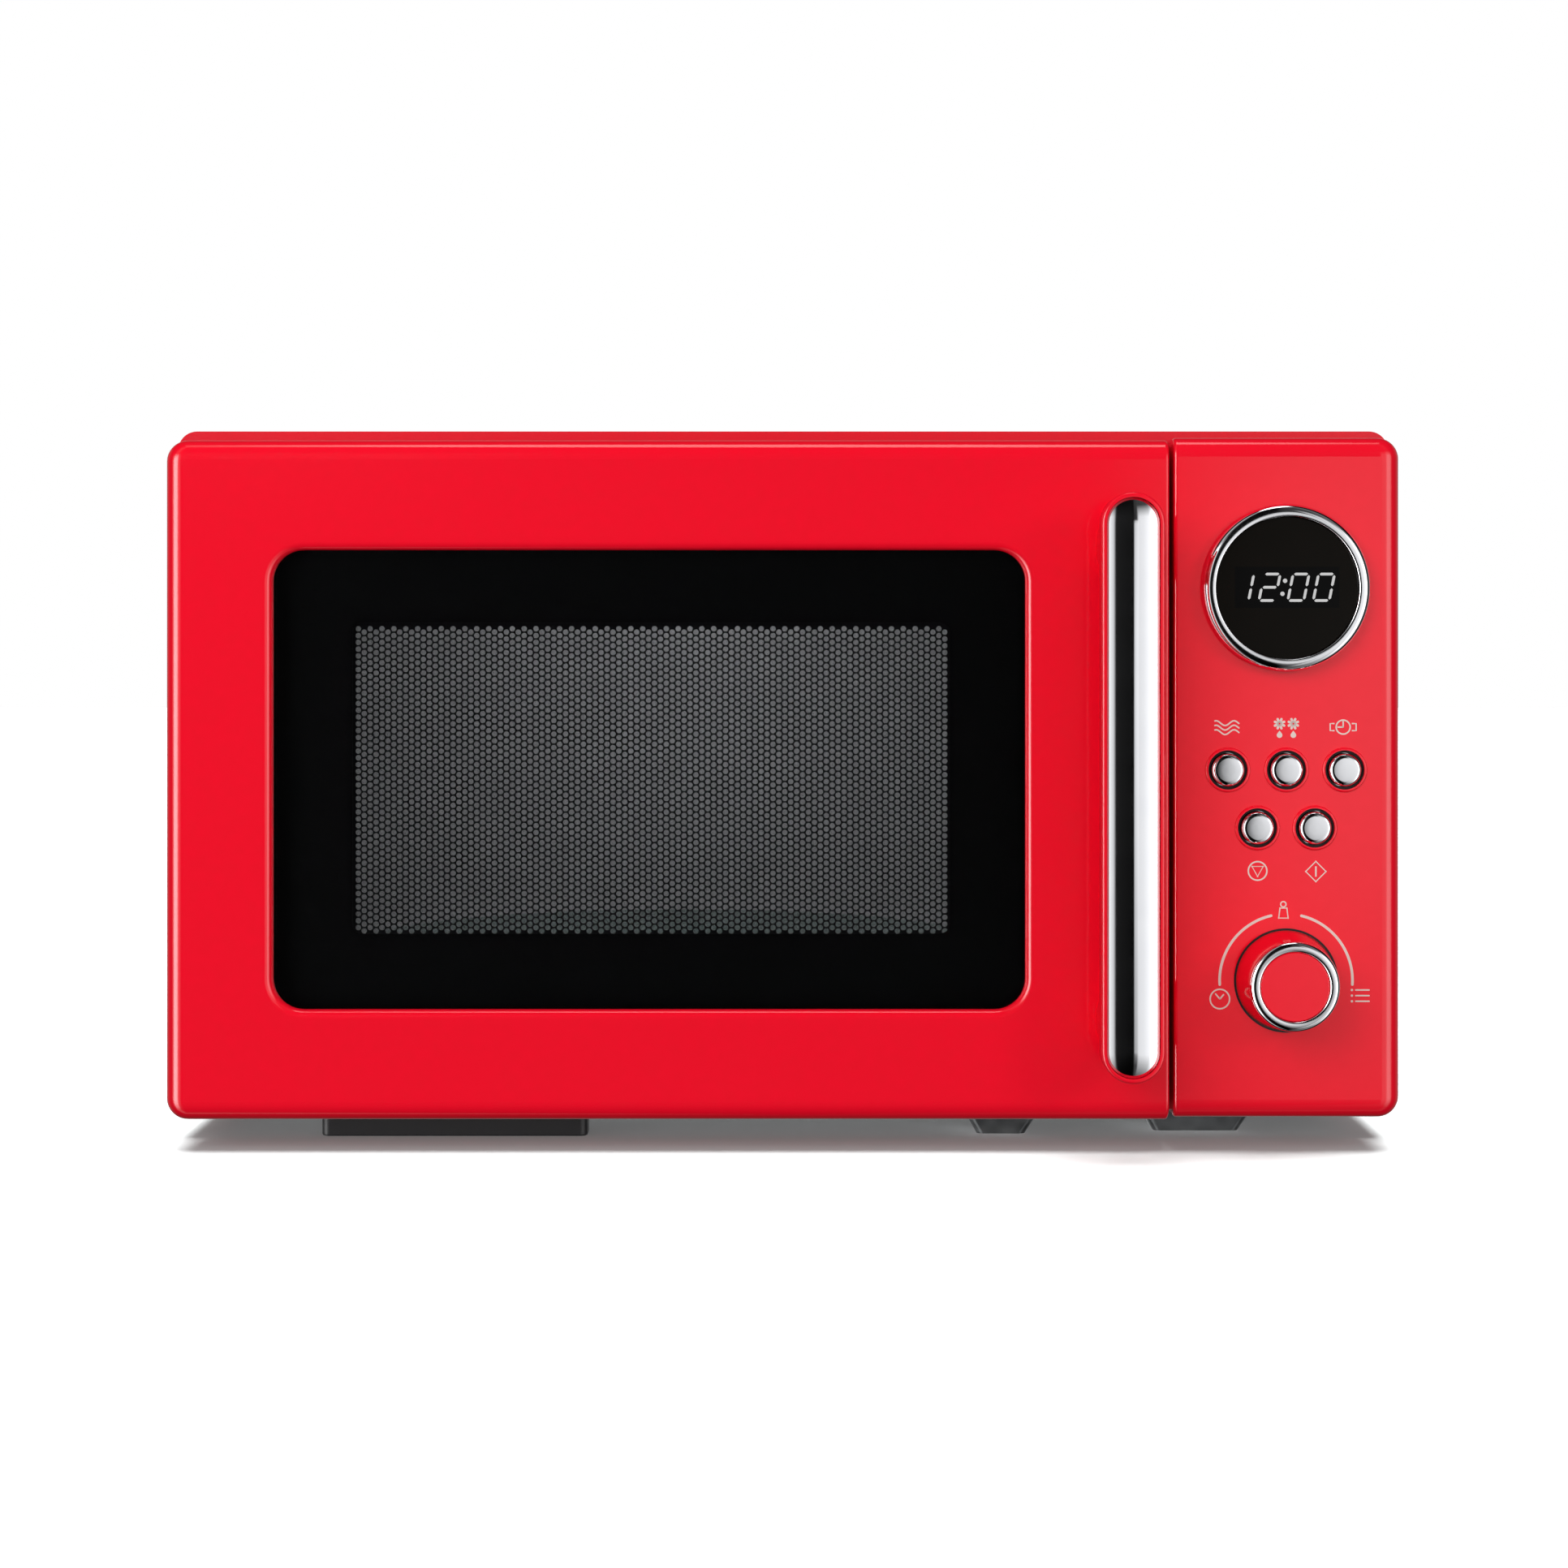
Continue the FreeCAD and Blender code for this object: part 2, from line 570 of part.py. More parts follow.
def door_frame():
    shape = cover_shell((left, door_right), (door_low, door_high), "right")
    opening = slab_y(window["x"], window["z"], (face - 1, pocket_front + 1), window["corner"])
    shape = shape.cut(opening)
    rim = edges_where(shape, lambda b: b.YMax < face + 0.01 and b.XMin > window["x"][0] - 0.5
                      and b.XMax < window["x"][1] + 0.5)
    shape = shape.makeFillet(window["edge"], rim)
    side = left + plastic_wall
    bosses = []
    cuts = []
    for top_hinge in (True, False):
        low, high = hinge_tongue_z(top_hinge)
        if top_hinge:
            boss_z = (low - 10.0, door_high - plastic_wall)
            bore_z = (low - 9.0, low)
        else:
            boss_z = (door_low + plastic_wall, high + 10.0)
            bore_z = (high, high + 9.0)
        bosses.append(box((side, hinge_x + 7.0), (hinge_y - 8.0, cover_back - 2.5), boss_z))
        cuts.append(box((left - 1, hinge_x + 7.5), (hinge_y - 8.0, cover_back + 1), (low - 0.5, high + 0.5)))
        cuts.append(along_z(4.5, bore_z, hinge_x, hinge_y))
    bosses.append(box((120.0, door_right - plastic_wall), (pocket_front, face + 24.0), (227.0, 230.0)))
    for low in (104.0, 172.0):
        for x in ((120.0, latch_x - 4.0), (latch_x + 4.0, door_right - plastic_wall)):
            bosses.append(box(x, (pocket_front, face + 21.0), (low, low + 6.0)))
    for x in (-196.0, 106.0):
        for z in (33.0, 133.0, 233.0):
            bosses.append(along_y(4.0, (pocket_front, screen_front), x, z))
    shape = joined(shape, *bosses)
    for z in handle_post_centres():
        cuts.append(along_y(2.2, (face - 1, pocket_front + 1), handle_x, z))
    back_edge = Part.makePolygon([FreeCAD.Vector(left - 1, cover_back - 5.5, 0),
                                  FreeCAD.Vector(left + 5.5, cover_back + 1, 0),
                                  FreeCAD.Vector(left - 1, cover_back + 1, 0),
                                  FreeCAD.Vector(left - 1, cover_back - 5.5, 0)])
    cuts.append(Part.Face(back_edge).extrude(FreeCAD.Vector(0, 0, overall_height)))
    return shape.cut(cuts)


def hinge_bushes():
    bushes = []
    for top_hinge in (True, False):
        low, high = hinge_tongue_z(top_hinge)
        z = (low - 9.0, low - 0.5) if top_hinge else (high + 0.5, high + 9.0)
        bush = along_z(4.5, z, hinge_x, hinge_y)
        bushes.append(bush.cut(along_z(hinge_pin_radius + running_gap, z, hinge_x, hinge_y)))
    return solids(*bushes)


def door_glass():
    x = (window["x"][0] - glass_lap, window["x"][1] + glass_lap)
    z = (window["z"][0] - glass_lap, window["z"][1] + glass_lap)
    return slab_y(x, z, (pocket_front, pocket_front + glass_thickness), window["corner"] + 3)


def door_screen():
    """Steel inner door: a flat screen with its rim folded back as the microwave choke."""
    x, z = (-208.0, 118.0), (23.0, 243.0)
    back = cover_back - 2.0
    outer = slab_y(x, z, (screen_front, back), 6.0)
    well = slab_y((x[0] + sheet, x[1] - sheet), (z[0] + sheet, z[1] - sheet), (screen_front + sheet, back), 5.2)
    notch = box((x[0] - 1, hinge_x + 9.0), (hinge_y - 10.0, back + 1), (0, 60.0))
    high_notch = box((x[0] - 1, hinge_x + 9.0), (hinge_y - 10.0, back + 1), (205.0, 260.0))
    return outer.cut(well).cut([notch, high_notch])


def choke_cover():
    """Plastic ring that closes the choke at the back of the door."""
    y = (cover_back - 2.0, cover_back)
    x = (left + 5.2, door_right - plastic_wall - 0.3)
    z = (door_low + plastic_wall + 0.3, door_high - plastic_wall - 0.3)
    plate = slab_y(x, z, y, 4.5)
    plate = plate.cut(slab_y((-166.0, 72.0), (62.0, 204.0), (y[0] - 1, y[1] + 1), 8.0))
    rib_y = (y[0] - 2.2, y[0])
    ribs = slab_y((-199.0, 109.0), (32.0, 234.0), rib_y, 6.0)
    ribs = ribs.cut(slab_y((-196.5, 106.5), (34.5, 231.5), rib_y, 5.0))
    cuts = []
    for low in hook_heights:
        cuts.append(box((latch_x - 5, latch_x + 5), (y[0] - 1, y[1] + 1), (low - 5, low + 14)))
    for top_hinge in (True, False):
        low, high = hinge_tongue_z(top_hinge)
        cuts.append(box((x[0] - 1, hinge_x + 7.5), (y[0] - 1, y[1] + 1), (low - 0.5, high + 0.5)))
    return joined(plate, ribs).cut(cuts)


def inner_window():
    y = cover_back - 2.0
    return slab_y((-170.0, 76.0), (58.0, 208.0), (y - 0.8, y), 8.0)


def handle_post_centres():
    return (handle_z[0] + post_inset + post_height / 2, handle_z[1] - post_inset - post_height / 2)


def handle_body():
    half = handle_width / 2
    x = (handle_x - half, handle_x + half)
    back = handle_front + handle_thickness
    bar = slab_y(x, handle_z, (handle_front + 0.6, back), half - 0.01)
    rounding = edges_where(bar, lambda b: b.YMax < handle_front + 0.61 or b.YMin > back - 0.01)
    bar = bar.makeFillet(1.1, rounding)
    trim_half = half - 1.7
    recess = slab_y((handle_x - trim_half, handle_x + trim_half), (handle_z[0] + 1.7, handle_z[1] - 1.7),
                    (handle_front - 1, handle_front + 3.0), trim_half - 0.01)
    bar = bar.cut(recess)
    shape = bar
    for z in handle_post_centres():
        post = slab_y((handle_x - half + 1.2, handle_x + half - 1.2), (z - post_height / 2, z + post_height / 2),
                      (back - 1.0, face), half - 1.3)
        shape = shape.fuse(post)
    shape = shape.removeSplitter()
    pilots = [along_y(1.6, (face - 14, face + 1), handle_x, z) for z in handle_post_centres()]
    return shape.cut(pilots)


def handle_trim():
    """Bright plated strip, slightly crowned, set into the bar."""
    half = handle_width / 2 - 1.7 - 0.05
    x = (handle_x - half, handle_x + half)
    z = (handle_z[0] + 1.75, handle_z[1] - 1.75)
    strip = slab_y(x, z, (handle_front, handle_front + 3.0), half - 0.01)
    return strip.makeFillet(1.6, edges_where(strip, lambda b: b.YMax < handle_front + 0.01))


def handle_screws():
    screws = []
    for z in handle_post_centres():
        shank = along_y(1.6, (face - 12.0, pocket_front), handle_x, z)
        head = along_y(3.8, (pocket_front, pocket_front + 2.2), handle_x, z)
        screws.append(joined(shank, head))
    return solids(*screws)


def latch_hooks():
    """Sprung slide in the door with two hooks that reach into the latch bracket."""
    bar = box((latch_x - 3.5, latch_x + 3.5), (face + 14.0, face + 22.0), (76.0, 206.0))
    hooks = []
    for low in hook_heights:
        side = (latch_x - 2.5, latch_x + 2.5)
        arm = box(side, (face + 21.0, plate_back + 16.0), (low + 0.4, low + 8.4))
        nose = [(plate_back + 9.0, low + 0.5), (plate_back + 16.0, low + 0.5), (plate_back + 16.0, low - 0.2),
                (plate_back + 12.0, low - 2.2), (plate_back + 9.0, low - 2.2)]
        points = [FreeCAD.Vector(side[0], y, z) for y, z in nose]
        barb = Part.Face(Part.makePolygon(points + points[:1])).extrude(FreeCAD.Vector(5.0, 0, 0))
        hooks.extend([arm, barb])
    return joined(bar, *hooks)


def half_coil(wire, start, end):
    """Half a turn of round wire between two points either side of the spring's axis."""
    centre = (start + end) * 0.5
    axis = FreeCAD.Vector(end.z - start.z, 0, start.x - end.x)
    if axis.z < 0:
        axis = axis * -1
    section = Part.Face(Part.Wire(Part.makeCircle(wire, start, FreeCAD.Vector(0, 1, 0))))
    return section.revolve(centre, axis, 180)


def latch_spring():
    wire = 0.4
    coil_radius = 2.6
    half_turns = 14
    low, high = 206.0 + wire, 227.0 - wire
    rise = (high - low) / half_turns
    points = []
    for index in range(half_turns + 1):
        side = coil_radius if index % 2 == 0 else -coil_radius
        points.append(FreeCAD.Vector(latch_x + side, face + latch_depth, low + index * rise))
    coils = [half_coil(wire, points[i], points[i + 1]) for i in range(half_turns)]
    return coils[0].fuse(coils[1:])


# Control panel

def control_panel():
    shape = cover_shell((panel_left, right), (panel_low, panel_high), "left")
    through = (face - 2, pocket_front + 1)
    rims = []
    cuts = [along_y(22.0, through, *display_at), along_y(4.5, through, *knob_at)]
    for x, z in button_at:
        rim = along_y(button_rim, (face - 0.8, face + 1), x, z)
        rims.append(rim.makeFillet(0.7, edges_where(rim, lambda b: b.YMax < face - 0.79)))
        cuts.append(along_y(button_hole, through, x, z))
    bosses = []
    for x, z in ((150.0, 226.0), (207.0, 226.0), (150.0, 86.0), (207.0, 86.0)):
        bosses.append(along_y(3.0, (pocket_front - 0.5, board_front), x, z))
    return joined(shape, *rims, *bosses).cut(cuts)


def display_bezel():
    """Domed bright ring with a ledge that the lens sits on."""
    outline = [(22.5, 0.0), (bezel_radius, 0.0), (bezel_radius, 3.6), (bezel_radius - 0.5, 5.2),
               (bezel_radius - 1.4, 6.3), (bezel_radius - 2.6, 6.8), (lens_radius + 0.6, 6.8),
               (lens_radius, 6.2), (lens_radius, 3.0), (22.5, 3.0)]
    return turned(outline, (display_at[0], face, display_at[1]), (0, -1, 0))


def display_lens():
    lens = along_y(lens_radius - 0.05, (face - 5.0, face - 3.0), *display_at)
    return lens.makeFillet(0.3, edges_where(lens, lambda b: b.YMax < face - 4.9))


def display_module():
    x, z = display_at
    block = box((x - 19.0, x + 19.0), (face - 2.4, board_front), (z - 8.0, z + 8.0))
    pins = [along_y(0.4, (board_front, board_front + 3.0), x - 15 + 5 * index, z) for index in range(7)]
    return joined(block, *pins)


def control_board():
    y = (board_front, board_front + board_thickness)
    board = box((146.0, 213.0), y, (44.0, 232.0))
    chips = [box((168.0, 184.0), (y[1], y[1] + 2.4), (130.0, 146.0)),
             box((150.0, 166.0), (y[1], y[1] + 9.0), (60.0, 82.0)),
             box((190.0, 206.0), (y[1], y[1] + 9.0), (60.0, 82.0)),
             box((152.0, 200.0), (y[1], y[1] + 8.0), (218.0, 226.0))]
    holes = [along_y(0.5, (y[0] - 1, y[1] + 1), display_at[0] - 15 + 5 * index, display_at[1])
             for index in range(7)]
    return joined(board, *chips).cut(holes)


def tact_switches():
    switches = []
    for x, z in button_at:
        body = box((x - 3, x + 3), (board_front - 3.4, board_front), (z - 3, z + 3))
        stem = along_y(1.7, (board_front - 4.6, board_front - 3.4), x, z)
        switches.append(joined(body, stem))
    return solids(*switches)


def encoder_body():
    x, z = knob_at
    body = box((x - 6, x + 6), (board_front - 7, board_front), (z - 6, z + 6))
    neck = along_y(3.6, (face + 4.5, board_front - 7), x, z)
    return joined(body, neck).cut(along_y(3.0 + running_gap, (face + 3, board_front - 1), x, z))


def button(x, z):
    """Domed bright cap, a flange that keeps it in the panel, and a stem towards its switch."""
    crown = 1.9
    dome_radius = (button_radius ** 2 + crown ** 2) / (2 * crown)
    rim_y = face - 0.7
    ball = Part.makeSphere(dome_radius, FreeCAD.Vector(x, rim_y - crown + dome_radius, z))
    dome = ball.common(along_y(button_radius, (rim_y - crown - 1, rim_y), x, z))
    skirt = along_y(button_radius, (rim_y, pocket_front + 1.0), x, z)
    flange = along_y(button_rim - 0.2, (pocket_front + 0.3, pocket_front + 1.3), x, z)
    stem = along_y(1.8, (pocket_front + 1.0, board_front - 4.6 - button_travel - touch_gap), x, z)
    return joined(dome, skirt, flange, stem)


def knob_body():
    x, z = knob_at
    back, front = face - 0.5, face - knob_height
    skirt = cone_y((knob_crown, knob_base), (front + 3.0, back), x, z)
    well = along_y(12.0, (back - 14.0, back + 1), x, z)
    hub = along_y(6.5, (back - 15.0, back - 0.5), x, z)
    seat = along_y(13.6, (front + 2.0, front + 4.0), x, z)
    shape = skirt.cut(well)
    return joined(shape, hub).cut([seat, along_y(3.0, (front + 8.0, back + 1), x, z)])


def knob_ring():
    """Bright ring round the knob's front, its front edge rounded."""
    depth = 3.0
    outline = [(13.6, 0.0), (knob_crown, 0.0), (knob_crown, 1.5), (knob_crown - 0.25, 2.3),
               (knob_crown - 0.8, 2.8), (knob_crown - 1.5, depth), (13.6, depth)]
    return turned(outline, (knob_at[0], face - knob_height + depth, knob_at[1]), (0, -1, 0))


def knob_cap():
    front = face - knob_height
    cap = along_y(13.5, (front + 0.5, front + 4.0), *knob_at)
    return cap.makeFillet(0.5, edges_where(cap, lambda b: b.YMax < front + 0.6))


def encoder_shaft():
    return along_y(3.0, (face - knob_height + 8.0, board_front - 2.0), *knob_at)


# Turntable

def glass_plate():
    rim_height = 12.0
    wall = 4.0
    base = glass_bottom
    outline = [(0.0, base), (plate_radius - 16, base), (plate_radius - 3, base + rim_height - wall),
               (plate_radius, base + rim_height), (plate_radius - 4, base + rim_height),
               (plate_radius - 8, base + rim_height - 2), (plate_radius - 18, base + wall), (0.0, base + wall)]
    plate = turned(outline, (turn_x, turn_y, 0), (0, 0, 1))
    lugs = []
    for index in range(3):
        lug = box((14.0, 20.0), (-3.0, 3.0), (base - 3.0, base + 0.5))
        lug.rotate(FreeCAD.Vector(0, 0, 0), FreeCAD.Vector(0, 0, 1), 120 * index + 60)
        lug.translate(FreeCAD.Vector(turn_x, turn_y, 0))
        lugs.append(lug)
    return joined(plate, *lugs)


def turntable_coupler():
    """Three-armed plastic coupler whose shaft goes down into the motor."""
    floor_z = cavity_z[0]
    hub = along_z(11.0, (floor_z + 0.6, glass_bottom - touch_gap), turn_x, turn_y)
    shaft = along_z(3.0, (floor_z - sheet - 10, floor_z + 0.6), turn_x, turn_y)
    arms = []
    for index in range(3):
        arm = box((0.0, 22.0), (-5.0, 5.0), (glass_bottom - 6.0, glass_bottom - touch_gap))
        arm.rotate(FreeCAD.Vector(0, 0, 0), FreeCAD.Vector(0, 0, 1), 120 * index)
        arm.translate(FreeCAD.Vector(turn_x, turn_y, 0))
        arms.append(arm)
    return joined(hub, shaft, *arms)


def around_turntable(shape, index):
    shape.rotate(FreeCAD.Vector(0, 0, 0), FreeCAD.Vector(0, 0, 1), 120 * index + 90)
    shape.translate(FreeCAD.Vector(turn_x, turn_y, 0))
    return shape


def roller_ring():
    inner, outer = 74.0, 80.0
    ring = along_z(outer, (roller_z - 3, roller_z + 3), turn_x, turn_y)
    ring = ring.cut(along_z(inner, (roller_z - 4, roller_z + 4), turn_x, turn_y))
    parts = [ring]
    for index in range(3):
        axle = along_x(2.0, (outer - 1, roller_track + 6), 0, roller_z)
        collar = along_x(4.0, (outer - 1, roller_track - 4.3), 0, roller_z)
        parts.extend([around_turntable(axle, index), around_turntable(collar, index)])
    return joined(*parts)


def roller(index):
    wheel = along_x(roller_radius, (roller_track - 4, roller_track + 4), 0, roller_z)
    wheel = wheel.makeFillet(0.8, edges_where(wheel, lambda b: b.ZMax - b.ZMin > roller_radius * 2 - 0.1
                                              and b.XMax - b.XMin < 0.1))
    bore = along_x(2.0 + running_gap, (roller_track - 5, roller_track + 5), 0, roller_z)
    return around_turntable(wheel.cut(bore), index)


def main():
    os.makedirs("parts", exist_ok=True)
    makers = (cabinet, rear_panel, base_plate, front_foot_bar, rear_feet, front_plate, hinge_brackets,
              cavity, waveguide, waveguide_cover, magnetron_yoke, magnetron_tube, transformer_core,
              transformer_coils, capacitor, hv_diode, fan_shroud, fan_motor, fan_blade, oven_lamp,
              turntable_motor, latch_bracket, microswitches, filter_board, thermal_cutouts, cord_grommet,
              cabinet_screws, door_frame, hinge_bushes, door_glass, door_screen, choke_cover, inner_window,
              handle_body, handle_trim, handle_screws, latch_hooks, latch_spring, control_panel,
              display_bezel, display_lens, display_module, control_board, tact_switches, encoder_body,
              knob_body, knob_ring, knob_cap, encoder_shaft, glass_plate, turntable_coupler, roller_ring)
    for maker in makers:
        save(maker.__name__, maker())
    for index, (x, z) in enumerate(button_at):
        save("button_" + str(index + 1), button(x, z))
    for index in range(3):
        save("roller_" + str(index + 1), roller(index))


main()
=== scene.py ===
import math
import bpy
import bmesh
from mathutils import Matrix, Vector


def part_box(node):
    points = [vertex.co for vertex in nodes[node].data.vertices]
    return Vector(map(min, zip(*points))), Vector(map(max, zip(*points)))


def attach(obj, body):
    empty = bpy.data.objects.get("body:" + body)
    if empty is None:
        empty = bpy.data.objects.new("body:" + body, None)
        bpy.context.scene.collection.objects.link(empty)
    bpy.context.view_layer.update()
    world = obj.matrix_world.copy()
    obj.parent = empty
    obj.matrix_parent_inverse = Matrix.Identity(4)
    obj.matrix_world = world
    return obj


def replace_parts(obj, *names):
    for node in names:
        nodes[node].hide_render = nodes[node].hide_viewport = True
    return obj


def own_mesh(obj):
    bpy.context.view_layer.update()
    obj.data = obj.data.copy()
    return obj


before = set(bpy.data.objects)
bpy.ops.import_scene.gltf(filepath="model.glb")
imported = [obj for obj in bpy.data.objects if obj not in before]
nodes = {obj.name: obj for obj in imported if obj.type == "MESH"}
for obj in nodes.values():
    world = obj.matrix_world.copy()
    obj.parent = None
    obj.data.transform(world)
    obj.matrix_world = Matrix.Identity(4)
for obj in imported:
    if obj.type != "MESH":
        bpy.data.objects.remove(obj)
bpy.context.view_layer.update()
mm = 0.001
frontFace = -145.5  # the flat front of the door and of the control panel, mm
print("stage: frame loaded", len(nodes), "nodes")


def linear(hexColour, alpha=1.0):
    # sRGB hex to the linear values that shaders take
    parts = [int(hexColour[i:i + 2], 16) / 255 for i in (1, 3, 5)]
    return tuple(c / 12.92 if c <= 0.04045 else ((c + 0.055) / 1.055) ** 2.4 for c in parts) + (alpha,)


def addNode(tree, kind, settings=None, links=None):
    # one node with its settings and the links that come into it
    node = tree.nodes.new(kind)
    for name, value in (settings or {}).items():
        if isinstance(name, str) and hasattr(node, name):
            setattr(node, name, value)
        else:
            node.inputs[name].default_value = value
    for name, source in (links or {}).items():
        tree.links.new(source, node.inputs[name])
    return node


def startMaterial(name):
    material = bpy.data.materials.new(name)
    material.use_nodes = True
    material.node_tree.nodes.clear()
    return material, material.node_tree


def makeSurface(name, look):
    # one procedural pattern, laid out in the piece's own millimetres, drives colour, roughness and relief
    material, tree = startMaterial(name)
    place = addNode(tree, "ShaderNodeTexCoord")
    spread = addNode(tree, "ShaderNodeMapping", {"Scale": [1 / (size * mm) for size in look["grain"]]},
                     {"Vector": place.outputs["Object"]})
    pattern = addNode(tree, look["pattern"], look["patternSettings"], {"Vector": spread.outputs["Vector"]})
    value = pattern.outputs[0]
    colour = addNode(tree, "ShaderNodeMix", {"data_type": "RGBA", 6: linear(look["colour"]),
                                             7: linear(look["secondColour"])}, {0: value})
    roughness = addNode(tree, "ShaderNodeMapRange", {"To Min": look["roughness"][0], "To Max": look["roughness"][1]},
                        {"Value": value})
    relief = addNode(tree, "ShaderNodeBump", {"Strength": 1.0, "Distance": look["relief"] * mm}, {"Height": value})
    shader = addNode(tree, "ShaderNodeBsdfPrincipled", look["shader"],
                     {"Base Color": colour.outputs[2], "Roughness": roughness.outputs["Result"],
                      "Normal": relief.outputs["Normal"]})
    addNode(tree, "ShaderNodeOutputMaterial", {}, {"Surface": shader.outputs[0]})
    return material


# the patterns that the finishes are made of, and the settings that they share
noise = "ShaderNodeTexNoise"
wave = "ShaderNodeTexWave"
cells = "ShaderNodeTexVoronoi"
fine = {"Scale": 1.0, "Detail": 2.0, "Roughness": 0.5}
flat = {"Scale": 1.0, "Detail": 0.0, "Roughness": 0.5}
bands = {"bands_direction": "Z", "Scale": 0.314, "Distortion": 0.4, "Detail": 1.0}  # one band to each unit of length
flakes = {"feature": "SMOOTH_F1", "Scale": 1.0, "Smoothness": 0.4}

